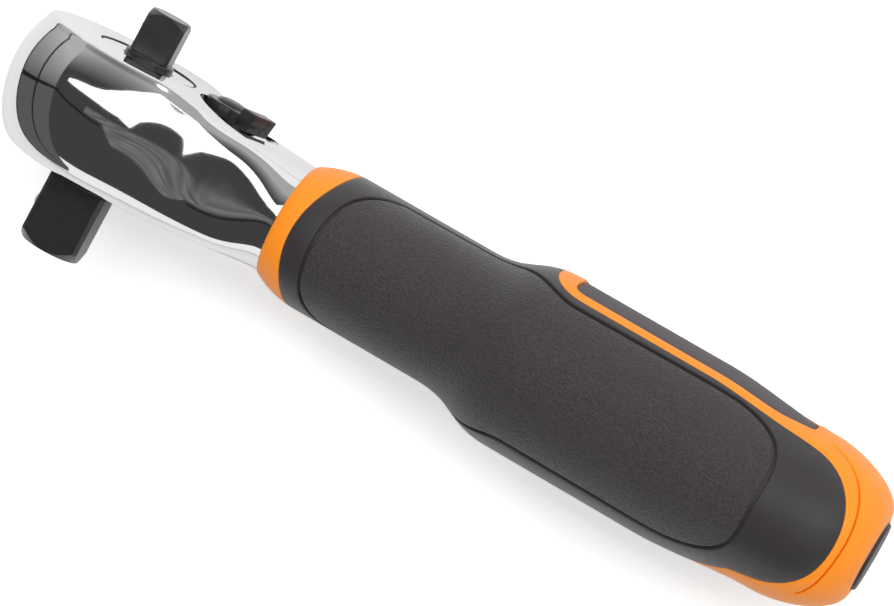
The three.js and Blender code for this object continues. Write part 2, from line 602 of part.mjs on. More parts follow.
// Half-height of the grip along X, from collar to butt.
function gripLine() {
  const line = new THREE.Path();
  line.moveTo(GRIP_FRONT, COLLAR_HALF);
  line.quadraticCurveTo(GRIP_FRONT + COLLAR_LENGTH / 2, WAIST_HALF, WAIST_X, WAIST_HALF);
  line.lineTo(SWELL_X, WAIST_HALF);
  const rise = SWELL_LENGTH / 2;
  line.bezierCurveTo(SWELL_X + rise, WAIST_HALF, PALM_X - rise, PALM_HALF, PALM_X, PALM_HALF);
  line.lineTo(TAIL_X, PALM_HALF);
  const fall = TAIL_LENGTH / 3;
  line.bezierCurveTo(TAIL_X + fall, PALM_HALF, BUTT_X - fall, TAIL_HALF, BUTT_X, TAIL_HALF);
  const turn = BUTT_X + BUTT_LENGTH * BUTT_FULLNESS;
  const buttSide = TAIL_HALF - (TAIL_HALF - BUTT_HALF) * BUTT_SHOULDER;
  line.bezierCurveTo(turn, TAIL_HALF, GRIP_END, buttSide, GRIP_END, BUTT_HALF);
  return line.getPoints(CURVE_STEPS);
}

// Solid of the grip's outer form, drawn in by a wall all round.
function gripForm(wall) {
  const line = gripLine();
  const last = line.length - 1;
  const corners = line.map((point, i) => {
    const inset = i === 0 ? 0 : i === last ? wall : 0;
    return new THREE.Vector2(point.y, point.x - inset);
  });
  corners.unshift(new THREE.Vector2(0, corners[0].y));
  corners.push(new THREE.Vector2(0, corners[corners.length - 1].y));
  const form = new THREE.LatheGeometry(corners, GRIP_SIDES).rotateZ(-Math.PI / 2);
  const spots = form.attributes.position;
  for (let i = 0; i < spots.count; i += 1) {
    const y = spots.getY(i);
    const z = spots.getZ(i);
    const outer = Math.hypot(y, z);
    if (outer < WELD) continue;
    const high = outer - wall;
    const wide = outer * WIDTH_RATIO - wall;
    const up = Math.abs(y / outer / high) ** SECTION_POWER;
    const across = Math.abs(z / outer / wide) ** SECTION_POWER;
    const reach = (up + across) ** (-1 / SECTION_POWER);
    spots.setXYZ(i, spots.getX(i), (reach * y) / outer, (reach * z) / outer);
  }
  return solid(form);
}

// Side outline of the rubber sleeve: bowed front, open above the waist, round tongue, closed under the palm.
function sleeveOutline(grow) {
  const side = GRIP_FRONT + COLLAR_BAND - grow;
  const top = GRIP_FRONT + COLLAR_BAND_TOP - grow;
  const bow = 2 * side - top;
  const level = INLAY_LEVEL + grow;
  const narrow = TONGUE_LEVEL + grow;
  const end = GRIP_END - TONGUE_END + grow;
  const tip = PALM_X - INLAY_TIP + grow;
  const full = PALM_X + INLAY_FULL;
  const shoulder = BUTT_X - TONGUE_SHOULDER;
  const heel = BUTT_X - HEEL_REACH + grow;
  const outline = new THREE.Shape();
  outline.moveTo(top, WAIST_HALF);
  outline.lineTo(top, BEYOND);
  outline.lineTo(tip, BEYOND);
  outline.lineTo(tip, PALM_HALF + grow);
  outline.quadraticCurveTo(tip + INLAY_ROUND, level, full, level);
  outline.lineTo(TAIL_X, level);
  outline.lineTo(shoulder, narrow);
  const drop = narrow - TONGUE_DROP;
  outline.bezierCurveTo(end - TONGUE_ROUND, drop, end, narrow / 2, end, 0);
  outline.bezierCurveTo(end, -narrow / 2, end - TONGUE_ROUND, -drop, shoulder, -narrow);
  outline.quadraticCurveTo(heel + HEEL_ROUND, -PALM_HALF, heel, -PALM_HALF - grow);
  outline.lineTo(heel, -BEYOND);
  outline.lineTo(top, -BEYOND);
  outline.lineTo(top, -WAIST_HALF);
  outline.quadraticCurveTo(bow, 0, top, WAIST_HALF);
  return outline;
}

// Stem of the inlay, from the core up to the surface.
function inlayStem(grow) {
  const front = INSERT_FRONT_X - STEM_MARGIN - grow;
  const rear = INSERT_REAR_X + STEM_MARGIN + grow;
  const half = INSERT_HALF + STEM_MARGIN + grow;
  const block = new THREE.BoxGeometry(rear - front, BEYOND, 2 * half);
  return solid(block.translate((front + rear) / 2, BEYOND / 2, 0));
}

// Plan outline of the label insert: square front, narrowed rear.
function insertOutline(grow) {
  const front = INSERT_FRONT_X - grow;
  const rear = INSERT_REAR_X + grow;
  const half = INSERT_HALF + grow;
  const tail = INSERT_TAIL_HALF + grow;
  const outline = new THREE.Shape();
  outline.moveTo(front, INSERT_ROUND - half);
  outline.quadraticCurveTo(front, -half, front + INSERT_ROUND, -half);
  outline.lineTo(rear - INSERT_TAIL, -half);
  outline.quadraticCurveTo(rear - INSERT_TAIL / 2, -half, rear, -tail);
  outline.lineTo(rear, tail);
  outline.quadraticCurveTo(rear - INSERT_TAIL / 2, half, rear - INSERT_TAIL, half);
  outline.lineTo(front + INSERT_ROUND, half);
  outline.quadraticCurveTo(front, half, front, half - INSERT_ROUND);
  outline.closePath();
  return outline;
}

// Column over the inlay with the insert's outline.
function insertColumn(grow) {
  return solid(plate(insertOutline(grow), 0, BEYOND));
}

// Side outline of a textured pad: rounded front, open above the waist, stepping under the inlay's border.
function padOutline(grow) {
  const front = GRIP_FRONT + PAD_FRONT - grow;
  const shoulder = PALM_X - PAD_SHOULDER + grow;
  const level = PAD_LEVEL + grow;
  const rear = BUTT_X - PAD_REAR + grow;
  const corner = rear - PAD_REAR_CORNER;
  const drop = level - PAD_REAR_DROP;
  const bend = front + PAD_CORNER_PULL;
  const open = front + PAD_CORNER;
  const outline = new THREE.Shape();
  outline.moveTo(front, 0);
  outline.bezierCurveTo(front, PAD_BOW, bend, WAIST_HALF, open, WAIST_HALF);
  outline.lineTo(open, BEYOND);
  outline.lineTo(shoulder, BEYOND);
  outline.lineTo(shoulder, PALM_HALF);
  outline.quadraticCurveTo(shoulder, level, shoulder + PAD_SHOULDER_RUN, level);
  outline.lineTo(corner, level);
  outline.quadraticCurveTo(rear, drop, rear, 0);
  outline.quadraticCurveTo(rear, -drop, corner, -level);
  outline.lineTo(shoulder + PAD_SHOULDER_RUN, -level);
  outline.quadraticCurveTo(shoulder, -level, shoulder, -PALM_HALF);
  outline.lineTo(shoulder, -BEYOND);
  outline.lineTo(open, -BEYOND);
  outline.lineTo(open, -WAIST_HALF);
  outline.bezierCurveTo(bend, -WAIST_HALF, front, -PAD_BOW, front, 0);
  return outline;
}

// Block over one side of the grip with a pad's outline; side is +1 for the upper pad, -1 for the lower.
function padBlock(side, grow) {
  const near = SPINE_HALF - grow;
  const block = side > 0 ? slab(padOutline(grow), near, BEYOND) : slab(padOutline(grow), -BEYOND, -near);
  return solid(block).subtract(inlayStem(PAD_STEM_WALL - grow));
}

// Room for one pad in what lies under it.
function padPocket(side) {
  return padBlock(side, PAD_GROOVE).subtract(gripForm(PAD_WALL + SEAT_GAP));
}

const outerForm = gripForm(0);
const SIDES = [1, -1];

// Moulded core: collar, inlay frames and butt at the surface, tang socket and seats inside.
function gripCore() {
  const skin = outerForm.subtract(solid(slab(sleeveOutline(SEAT_GAP), -BEYOND, BEYOND)));
  const stems = outerForm.intersect(inlayStem(0));
  const pocketFloor = gripForm(INSERT_SINK + INSERT_WALL + SEAT_GAP);
  const socket = bar(TANG_RADIUS + SEAT_GAP, GRIP_FRONT - END_GAP, NECK_END + TANG_LENGTH + END_GAP);
  const capSeat = GRIP_END - CAP_THICKNESS + CAP_RIM - SEAT_GAP;
  const cuts = [
    insertColumn(SEAT_GAP).subtract(pocketFloor),
    ...SIDES.map(padPocket),
    solid(socket),
    solid(bar(CAP_RADIUS + SEAT_GAP, capSeat, GRIP_END + BEYOND)),
    solid(bar(CAP_STEM_RADIUS + SEAT_GAP, capSeat - CAP_STEM - END_GAP, GRIP_END + BEYOND, SMALL_SIDES)),
  ];
  const core = gripForm(SLEEVE_WALL + SEAT_GAP).add(skin).add(stems);
  return cuts.reduce((body, cut) => body.subtract(cut), core);
}

// Smooth rubber sleeve moulded round the core, with pockets for the textured pads.
function gripSleeve() {
  const wall = outerForm
    .intersect(solid(slab(sleeveOutline(0), -BEYOND, BEYOND)))
    .subtract(gripForm(SLEEVE_WALL))
    .subtract(inlayStem(SEAT_GAP));
  return SIDES.reduce((body, side) => body.subtract(padPocket(side)), wall);
}

// Textured rubber pad on one side.
function sidePad(side) {
  return outerForm.intersect(padBlock(side, 0)).subtract(gripForm(PAD_WALL));
}

// Label insert in the inlay.
function labelInsert() {
  const face = gripForm(INSERT_SINK).intersect(insertColumn(0));
  return face.subtract(gripForm(INSERT_SINK + INSERT_WALL));
}

// Plug that closes the butt: a low disc on a stem.
function buttCap() {
  const back = GRIP_END + CAP_RIM - CAP_THICKNESS;
  const front = GRIP_END + CAP_RIM;
  const plug = turned([[0, back - CAP_STEM], [CAP_STEM_RADIUS, back - CAP_STEM], [CAP_STEM_RADIUS, back],
    [CAP_RADIUS, back], [CAP_RADIUS, front - CAP_RIM], [CAP_RADIUS - CAP_RIM, front], [0, front]]);
  return solid(plug.rotateZ(-Math.PI / 2));
}

const FINISHES = {
  chrome: { color: 0xd8dade, roughness: 0.12, metalness: 1.0 },
  blackSteel: { color: 0x2b292a, roughness: 0.45, metalness: 0.6 },
  steel: { color: 0xb4b6b8, roughness: 0.3, metalness: 1.0 },
  orange: { color: 0xff8c26, roughness: 0.45, metalness: 0.0 },
  smoothRubber: { color: 0x3c393b, roughness: 0.6, metalness: 0.0 },
  grainedRubber: { color: 0x454143, roughness: 0.85, metalness: 0.0 },
  label: { color: 0x4a4547, roughness: 0.8, metalness: 0.0 },
  blackPlastic: { color: 0x2c2830, roughness: 0.5, metalness: 0.0 },
};

// Named mesh with a finish of its own.
function piece(name, body, finish) {
  const mesh = new THREE.Mesh(geometryOf(body), new THREE.MeshStandardMaterial(FINISHES[finish]));
  mesh.name = name;
  return mesh;
}

// Head pieces that stay put in the forging.
const head = new THREE.Group();
head.add(
  piece('head_body', headBody(), 'chrome'),
  piece('cover_plate', coverPlate(), 'chrome'),
  piece('cover_spring_ring', springRing(COVER_RADIUS, COVER_BOTTOM + COVER_THICKNESS / 2), 'steel'),
  piece('pawl_pin', pawlPin(), 'steel'),
);

// Spindle, balls and springs turn together about the drive axis.
const largeBallBack = -(LARGE_SQUARE / 2 + LARGE_BALL_PROUD - 2 * LARGE_BALL_RADIUS);
const smallBallBack = -(SMALL_SQUARE / 2 + SMALL_BALL_PROUD - 2 * SMALL_BALL_RADIUS);
const largeSpring = coilSpring('large spring', LARGE_BALL_RADIUS, largeBallBack, LARGE_BORE_PAST_AXIS);
const smallSpring = coilSpring('small spring', SMALL_BALL_RADIUS, smallBallBack, SMALL_BORE_PAST_AXIS);
const largeBall = detentBall(LARGE_SQUARE, LARGE_BALL_RADIUS, LARGE_BALL_PROUD, LARGE_BALL_Y);
const smallBall = detentBall(SMALL_SQUARE, SMALL_BALL_RADIUS, SMALL_BALL_PROUD, SMALL_BALL_Y);
const spindle = new THREE.Group();
spindle.rotation.y = SPINDLE_TURN;
spindle.add(
  piece('drive_spindle', driveSpindle(), 'blackSteel'),
  piece('large_detent_ball', largeBall, 'steel'),
  piece('large_detent_spring', largeSpring.translate([0, LARGE_BALL_Y, 0]), 'steel'),
  piece('small_detent_ball', smallBall, 'steel'),
  piece('small_detent_spring', smallSpring.translate([0, SMALL_BALL_Y, 0]), 'steel'),
);

// Pawl rocked on its pin so that the nose away from the lever's arm is in the teeth.
const rocker = new THREE.Group();
rocker.position.x = PAWL_X;
rocker.rotation.y = PAWL_SWING;
rocker.add(piece('pawl', pawl(), 'steel'));

// Lever thrown towards +Z, with what turns on its post.
const plungerBack = PLUNGER_LENGTH - PLUNGER_REACH;
const plungerBore = PLUNGER_RADIUS + BORE_GAP;
const plungerSpring = coilSpring('lever spring', plungerBore, plungerBack, PLUNGER_BORE_PAST_AXIS);
const lever = new THREE.Group();
lever.position.x = LEVER_X;
lever.rotation.y = -LEVER_THROW;
lever.add(
  piece('reversing_lever', reversingLever(), 'blackSteel'),
  piece('lever_seal_ring', leverSeal(), 'blackPlastic'),
  piece('lever_spring_ring', springRing(POST_RADIUS, postRingY()), 'steel'),
  piece('lever_plunger', leverPlunger(), 'steel'),
  piece('lever_spring', plungerSpring.translate([0, POCKET_MIDDLE, 0]), 'steel'),
);

// Moulded grip on the tang.
const grip = new THREE.Group();
grip.add(
  piece('grip_core', gripCore(), 'orange'),
  piece('grip_sleeve', gripSleeve(), 'smoothRubber'),
  piece('upper_side_pad', sidePad(1), 'grainedRubber'),
  piece('lower_side_pad', sidePad(-1), 'grainedRubber'),
  piece('top_label_insert', labelInsert(), 'label'),
  piece('butt_cap', buttCap(), 'blackPlastic'),
);

const ratchet = new THREE.Group();
ratchet.position.y = -LARGE_END;
ratchet.add(head, spindle, rocker, lever, grip);

const root = new THREE.Group();
root.add(ratchet);

export default root;
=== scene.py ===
import math
from bisect import bisect
from itertools import accumulate

import bmesh
import bpy
from mathutils import Matrix, Vector
from mathutils.geometry import interpolate_bezier


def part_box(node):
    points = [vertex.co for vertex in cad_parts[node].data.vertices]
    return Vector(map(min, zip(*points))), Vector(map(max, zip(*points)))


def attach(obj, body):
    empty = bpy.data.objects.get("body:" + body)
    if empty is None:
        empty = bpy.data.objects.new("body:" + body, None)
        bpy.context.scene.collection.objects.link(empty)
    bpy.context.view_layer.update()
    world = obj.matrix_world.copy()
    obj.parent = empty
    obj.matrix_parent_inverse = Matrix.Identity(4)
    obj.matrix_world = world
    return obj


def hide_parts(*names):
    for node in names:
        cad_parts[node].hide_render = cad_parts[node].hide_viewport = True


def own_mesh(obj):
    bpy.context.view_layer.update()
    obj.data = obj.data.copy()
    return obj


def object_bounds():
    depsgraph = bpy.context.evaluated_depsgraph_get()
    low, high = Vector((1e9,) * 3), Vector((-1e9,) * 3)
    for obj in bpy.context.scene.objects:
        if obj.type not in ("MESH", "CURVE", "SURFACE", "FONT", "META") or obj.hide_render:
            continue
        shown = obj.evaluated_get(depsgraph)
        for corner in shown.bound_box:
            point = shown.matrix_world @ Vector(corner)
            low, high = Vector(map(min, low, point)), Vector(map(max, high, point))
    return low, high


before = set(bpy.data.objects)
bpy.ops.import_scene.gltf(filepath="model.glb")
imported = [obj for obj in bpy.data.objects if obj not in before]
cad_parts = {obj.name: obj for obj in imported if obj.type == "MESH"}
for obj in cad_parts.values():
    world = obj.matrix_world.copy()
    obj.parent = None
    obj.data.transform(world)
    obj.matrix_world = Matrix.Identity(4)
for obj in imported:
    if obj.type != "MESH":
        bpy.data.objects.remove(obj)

CAD_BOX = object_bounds()

# Forged head: a drop-forged steel barrel, flat on top and rounded underneath, drawn out on one side into
# an oval neck. It is ground, polished and chrome plated all over. The spindle, the cover and the lever's
# post sit in bores that are cut from its two faces.
MM = 0.001
WELD = 0.05
SAME = 2e-5
HEAD_TOP = 10.3
HEAD_BOTTOM = 9.9
HEAD_RADIUS = 18.45
HEAD_BELLY = 2.0
TOP_FACE_RADIUS = 15.9
TOP_RIM_RADIUS = 16.8
TOP_EDGE_ROUND = 0.9
BOTTOM_FACE_RADIUS = 12.5
AXIS_RADIUS = 0.02
HEAD_STEPS = 192
FINE_ROUND = 128
FACE_STEPS = 10
NECK_END = 31.6
NECK_SHARE = 0.85
NECK_HALF_HEIGHT = 8.9
NECK_HALF_WIDTH = 9.45
SHOULDER_START = 6.0
SHOULDER_END = 20.0
UNDER_START = 12.0
UNDER_END = 31.0
TAPER_END = 21.0
NECK_POWER = 2.2
SHOULDER_POWER = 5.0
COVER_BORE = 8.2
COVER_SEAT = 7.6
GEAR_BORE = 7.7
GEAR_FLOOR = -6.0
SPINDLE_HOLE = 6.8
LEVER_X = 16.8
LEVER_SEAT = 8.4
LEVER_SEAT_RADIUS = 7.0
POST_BORE = 3.3
POST_FLOOR = -5.35
CLEAR = 15.0
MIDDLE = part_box("head_body")[1].y - HEAD_TOP * MM


def straight(start, end, steps):
    return [tuple(Vector(start).lerp(Vector(end), step / steps)) for step in range(steps + 1)]


def bend(start, pull_start, pull_end, end, steps=12):
    knots = [Vector((*point, 0)) for point in (start, pull_start, pull_end, end)]
    return [tuple(point.xy) for point in interpolate_bezier(*knots, steps + 1)]


def turned(profile, steps=96):
    mesh = bmesh.new()
    verts = [mesh.verts.new((radius, height, 0)) for radius, height in profile]
    edges = [mesh.edges.new(pair) for pair in zip(verts, verts[1:])]
    bmesh.ops.spin(
        mesh, geom=verts + edges, cent=(0, 0, 0), axis=(0, 1, 0), angle=2 * math.pi, steps=steps,
        use_merge=True)
    bmesh.ops.remove_doubles(mesh, verts=mesh.verts[:], dist=SAME)
    bmesh.ops.recalc_face_normals(mesh, faces=mesh.faces[:])
    return mesh


def combined(body, tool, operation):
    objects = []
    for source in (body, tool):
        data = bpy.data.meshes.new("blank")
        source.to_mesh(data)
        source.free()
        objects.append(bpy.data.objects.new("blank", data))
        bpy.context.scene.collection.objects.link(objects[-1])
    modifier = objects[0].modifiers.new("cut", "BOOLEAN")
    modifier.object = objects[1]
    modifier.operation = operation
    modifier.solver = "EXACT"
    result = bmesh.new()
    result.from_object(objects[0], bpy.context.evaluated_depsgraph_get())
    for blank in objects:
        bpy.data.objects.remove(blank)
    return result


def finished(mesh, name, finish, body, nodes=(), crease=30):
    bmesh.ops.scale(mesh, vec=(MM, MM, MM), verts=mesh.verts[:])
    bmesh.ops.translate(mesh, vec=(0, MIDDLE, 0), verts=mesh.verts[:])
    data = bpy.data.meshes.new(name)
    mesh.to_mesh(data)
    mesh.free()
    data.polygons.foreach_set("use_smooth", [True] * len(data.polygons))
    data.set_sharp_from_angle(angle=math.radians(crease))
    data.materials.clear()
    data.materials.append(finish)
    piece = bpy.data.objects.new(name, data)
    bpy.context.scene.collection.objects.link(piece)
    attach(piece, body)
    if nodes:
        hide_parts(*nodes)
    return piece


def linear(colour):
    channels = [int(colour[i:i + 2], 16) / 255 for i in (1, 3, 5)]
    return (*[c / 12.92 if c <= 0.04045 else ((c + 0.055) / 1.055) ** 2.4 for c in channels], 1.0)


def add_node(tree, kind, sockets=None, **settings):
    node = tree.nodes.new(kind)
    for name, value in settings.items():
        setattr(node, name, value)
    for name, value in (sockets or {}).items():
        if isinstance(value, bpy.types.NodeSocket):
            tree.links.new(value, node.inputs[name])
        else:
            node.inputs[name].default_value = value
    return node


def blank_material(name):
    material = bpy.data.materials.new(name)
    material.use_nodes = True
    material.node_tree.nodes.clear()
    place = add_node(material.node_tree, "ShaderNodeTexCoord").outputs["Object"]
    return material, material.node_tree, place


def mottled(tree, place, size, detail):
    scale = 1 / (size * MM)
    noise = add_node(tree, "ShaderNodeTexNoise", {"Vector": place, "Scale": scale, "Detail": detail})
    return noise.outputs["Fac"]


def bumped(tree, height, depth, strength=1.0):
    bump = add_node(tree, "ShaderNodeBump", {"Height": height, "Distance": depth * MM, "Strength": strength})
    return bump.outputs["Normal"]


def surfaced(tree, sockets):
    shine = add_node(tree, "ShaderNodeBsdfPrincipled", sockets)
    add_node(tree, "ShaderNodeOutputMaterial", {"Surface": shine.outputs["BSDF"]})


def smooth(x, start, end):
    share = min(max((x - start) / (end - start), 0), 1)
    return share * share * (3 - 2 * share)


# Polished chrome plate over forged steel: a clear mirror, a little wavy from the polishing wheel.
POLISH_WAVE = 5.0
POLISH_WAVE_HEIGHT = 0.012
POLISH_SCRATCH = 0.4
chrome, tree, place = blank_material("polished_chrome_plate_on_forged_steel")
wave = mottled(tree, place, POLISH_WAVE, 1.0)
wavy = bumped(tree, wave, POLISH_WAVE_HEIGHT)
scratch = mottled(tree, place, POLISH_SCRATCH, 4.0)
dull = add_node(tree, "ShaderNodeMapRange", {"Value": scratch, "To Min": 0.03, "To Max": 0.09})
surfaced(tree, {
    "Base Color": linear("#EAEAEB"), "Metallic": 1.0, "Roughness": dull.outputs["Result"],
    "Normal": wavy})

head_profile = (
    straight((AXIS_RADIUS, -HEAD_BOTTOM), (BOTTOM_FACE_RADIUS, -HEAD_BOTTOM), FACE_STEPS)
    + bend((BOTTOM_FACE_RADIUS, -HEAD_BOTTOM), ((BOTTOM_FACE_RADIUS + HEAD_RADIUS) / 2, -HEAD_BOTTOM),
           (HEAD_RADIUS, (HEAD_BELLY - HEAD_BOTTOM) / 2), (HEAD_RADIUS, HEAD_BELLY), 20)[1:]
    + bend((HEAD_RADIUS, HEAD_BELLY), (HEAD_RADIUS, (HEAD_TOP + 2 * HEAD_BELLY) / 3),
           (TOP_RIM_RADIUS + TOP_EDGE_ROUND, (2 * HEAD_TOP + HEAD_BELLY) / 3),
           (TOP_RIM_RADIUS, HEAD_TOP - TOP_EDGE_ROUND), 16)[1:]
    + bend((TOP_RIM_RADIUS, HEAD_TOP - TOP_EDGE_ROUND), (TOP_RIM_RADIUS - TOP_EDGE_ROUND / 6, HEAD_TOP),
           (TOP_RIM_RADIUS - TOP_EDGE_ROUND / 2, HEAD_TOP), (TOP_FACE_RADIUS, HEAD_TOP), 6)[1:]
    + straight((TOP_FACE_RADIUS, HEAD_TOP), (AXIS_RADIUS, HEAD_TOP), FACE_STEPS)[1:])
head = turned(head_profile, HEAD_STEPS)
for vert in head.verts:
    radius = math.hypot(vert.co.x, vert.co.z)
    share = 1 - math.atan2(abs(vert.co.z), vert.co.x) / (math.pi / 2)
    if share <= 0:
        continue
    x = min(share / NECK_SHARE, 1) * NECK_END
    fold = min((1 - share) / (1 - NECK_SHARE), 1)
    across = radius / HEAD_RADIUS
    up = vert.co.y / (HEAD_TOP if vert.co.y > 0 else HEAD_BOTTOM)
    power = SHOULDER_POWER + (NECK_POWER - SHOULDER_POWER) * smooth(x, SHOULDER_END, UNDER_END)
    pull = (across ** power + abs(up) ** power) ** (-1 / power)
    level = smooth(x, SHOULDER_START, SHOULDER_END) if up > 0 else smooth(x, UNDER_START, UNDER_END)
    width = radius + (NECK_HALF_WIDTH * across * pull - radius) * smooth(x, 0, TAPER_END)
    height = vert.co.y + (NECK_HALF_HEIGHT * up * pull - vert.co.y) * level
    vert.co = (x, height, math.copysign(fold * width, vert.co.z))
bmesh.ops.remove_doubles(head, verts=head.verts[:], dist=WELD)
bmesh.ops.recalc_face_normals(head, faces=head.faces[:])
spindle_bore = turned([
    (0, -CLEAR), (SPINDLE_HOLE, -CLEAR), (SPINDLE_HOLE, GEAR_FLOOR), (GEAR_BORE, GEAR_FLOOR),
    (GEAR_BORE, COVER_SEAT), (COVER_BORE, COVER_SEAT), (COVER_BORE, CLEAR), (0, CLEAR)], FINE_ROUND)
post_bore = turned([
    (0, POST_FLOOR), (POST_BORE, POST_FLOOR), (POST_BORE, LEVER_SEAT), (LEVER_SEAT_RADIUS, LEVER_SEAT),
    (LEVER_SEAT_RADIUS, CLEAR), (0, CLEAR)])
bmesh.ops.translate(post_bore, vec=(LEVER_X, 0, 0), verts=post_bore.verts[:])
head = combined(combined(head, spindle_bore, "DIFFERENCE"), post_bore, "DIFFERENCE")
head_piece = finished(head, "forged_head", chrome, "handle", ["head_body"])

# Cover: a polished steel disc that closes the gear's bore round the small square, a hair below the top face.
# A spring ring in its rim holds it, so no screws show.
COVER_RADIUS = 8.0
COVER_HOLE = 4.3
COVER_TOP = 10.1
COVER_BOTTOM = 7.9
COVER_EDGE = 0.2
cover = turned([
    (COVER_HOLE, COVER_BOTTOM), (COVER_RADIUS, COVER_BOTTOM), (COVER_RADIUS, COVER_TOP - COVER_EDGE),
    (COVER_RADIUS - COVER_EDGE, COVER_TOP), (COVER_HOLE + COVER_EDGE, COVER_TOP),
    (COVER_HOLE, COVER_TOP - COVER_EDGE), (COVER_HOLE, COVER_BOTTOM)], FINE_ROUND)
finished(cover, "cover_disc", chrome, "handle", ["cover_plate"])

# Spindle: one hardened steel turning with a milled square at each end and round journals between. It is
# phosphated black. The corners of the squares are turned off and their ends are chamfered on the lathe.
SPINDLE_TURN = math.radians(7.5)
LARGE_SQUARE = 9.525
LARGE_CORNER = 6.3
LARGE_CHAMFER = 1.65
LARGE_TOP = -11.2
LARGE_END = -22.5
SMALL_SQUARE = 6.35
SMALL_CORNER = 4.1
SMALL_CHAMFER = 1.0
SMALL_BASE = 11.1
SMALL_END = 18.0
LOWER_JOURNAL = 6.5
UPPER_JOURNAL = 4.0
JOURNAL_EDGE = 0.3
GEAR_TOP = 4.6
GEAR_BOTTOM = -5.7
GEAR_TIP = 7.4
GEAR_ROOT = 6.85
GEAR_TEETH = 72
LARGE_BALL = 1.65
LARGE_BALL_PLACE = (-4.0125, -16.5, 0)
SMALL_BALL = 1.05
SMALL_BALL_PLACE = (-2.575, 14.9, 0)
BALL_GAP = 0.08
EDGE_BREAK = 0.14
BREAK_ANGLE = math.radians(25)
BREAK_STEPS = 2
TINY_ROUND = 48

# Manganese phosphate on hardened steel: charcoal black, fine-grained, with a dull metallic sheen.
PHOSPHATE_GRAIN = 0.12
PHOSPHATE_MOTTLE = 2.0
phosphate, tree, place = blank_material("black_phosphate_on_hardened_steel")
grain = mottled(tree, place, PHOSPHATE_GRAIN, 3.0)
mottle = mottled(tree, place, PHOSPHATE_MOTTLE, 2.0)
tint = add_node(tree, "ShaderNodeMix", {
    "Factor": mottle, "A": linear("#292728"), "B": linear("#3B3839")}, data_type="RGBA")
rough = bumped(tree, grain, 0.01, 0.5)
surfaced(tree, {
    "Base Color": tint.outputs["Result"], "Metallic": 0.6, "Roughness": 0.36, "Coat Weight": 0.5,
    "Coat Roughness": 0.2, "Normal": rough})


def drive_square(width, corner, chamfer, base, end):
    way = math.copysign(1, end - base)
    block = bmesh.new()
    bmesh.ops.create_cube(block, size=1)
    bmesh.ops.scale(block, vec=(width, abs(end - base), width), verts=block.verts[:])
    bmesh.ops.translate(block, vec=(0, (base + end) / 2, 0), verts=block.verts[:])
    envelope = turned([
        (0, base - way), (corner, base - way), (corner, end - way * chamfer), (corner - chamfer, end),
        (0, end)], FINE_ROUND)
    return combined(block, envelope, "INTERSECT")


def ball_bore(radius, centre):
    bore = turned([(0, 0), (radius + BALL_GAP, 0), (radius + BALL_GAP, CLEAR), (0, CLEAR)], TINY_ROUND)
    lay = Matrix.Translation((0, centre[1], 0)) @ Matrix.Rotation(math.pi / 2, 4, "Z")
    bmesh.ops.transform(bore, matrix=lay, verts=bore.verts[:])
    return bore


spindle = turned([
    (0, LARGE_TOP), (LOWER_JOURNAL - JOURNAL_EDGE, LARGE_TOP), (LOWER_JOURNAL, LARGE_TOP + JOURNAL_EDGE),
    (LOWER_JOURNAL, GEAR_BOTTOM), (GEAR_ROOT, GEAR_BOTTOM), (GEAR_ROOT, GEAR_TOP), (UPPER_JOURNAL, GEAR_TOP),
    (UPPER_JOURNAL, SMALL_BASE - JOURNAL_EDGE), (UPPER_JOURNAL - JOURNAL_EDGE, SMALL_BASE),
    (0, SMALL_BASE)], FINE_ROUND)
large = drive_square(LARGE_SQUARE, LARGE_CORNER, LARGE_CHAMFER, LARGE_TOP, LARGE_END)
large = combined(large, ball_bore(LARGE_BALL, LARGE_BALL_PLACE), "DIFFERENCE")
small = drive_square(SMALL_SQUARE, SMALL_CORNER, SMALL_CHAMFER, SMALL_BASE, SMALL_END)
small = combined(small, ball_bore(SMALL_BALL, SMALL_BALL_PLACE), "DIFFERENCE")
spindle_lay = Matrix.Rotation(SPINDLE_TURN, 4, "Y")
for mesh, name, nodes in (
        (spindle, "spindle_journals", ["drive_spindle"]), (large, "large_square", []),
        (small, "small_square", [])):
    bmesh.ops.transform(mesh, matrix=spindle_lay, verts=mesh.verts[:])
    piece = finished(mesh, name, phosphate, "spindle", nodes)
    rounding = piece.modifiers.new("broken edges", "BEVEL")
    rounding.width = EDGE_BREAK * MM
    rounding.segments = BREAK_STEPS
    rounding.angle_limit = BREAK_ANGLE

# Dark skin on the wall of the cover's bore in the head: painted shade for the narrow gap round the cover. It
# shows as a fine dark line round the cover, where the bore stands a little above the disc.
GAP_SHADE_SKIN = 0.04
gap_shade_ring = turned([
    (COVER_BORE - GAP_SHADE_SKIN, COVER_SEAT), (COVER_BORE, COVER_SEAT), (COVER_BORE, HEAD_TOP - GAP_SHADE_SKIN),
    (COVER_BORE - GAP_SHADE_SKIN, HEAD_TOP - GAP_SHADE_SKIN), (COVER_BORE - GAP_SHADE_SKIN, COVER_SEAT)], FINE_ROUND)
# The ring's black finish is painted shade in the gap round the cover.
finished(gap_shade_ring, "painted_shade_in_cover_gap", phosphate, "handle")

# Toothed ring on the spindle: fine vee teeth, cut all round, that the pawl bites into. It lies inside the
# head and is blacked with the rest of the spindle.
gear = bmesh.new()
teeth = []
for tooth in range(2 * GEAR_TEETH):
    turn = math.pi * tooth / GEAR_TEETH
    reach = GEAR_TIP if tooth % 2 else GEAR_ROOT
    teeth.append(gear.verts.new((reach * math.cos(turn), GEAR_BOTTOM, reach * math.sin(turn))))
ring = bmesh.ops.extrude_face_region(gear, geom=[gear.faces.new(teeth)])
rim = [part for part in ring["geom"] if isinstance(part, bmesh.types.BMVert)]
bmesh.ops.translate(gear, vec=(0, GEAR_TOP - GEAR_BOTTOM, 0), verts=rim)
bmesh.ops.recalc_face_normals(gear, faces=gear.faces[:])
finished(gear, "spindle_teeth", phosphate, "spindle")

# Detent balls: bearing balls staked into the squares over a spring, so that sockets click on. They are ground
# and lapped, and sit a little proud of the flat.

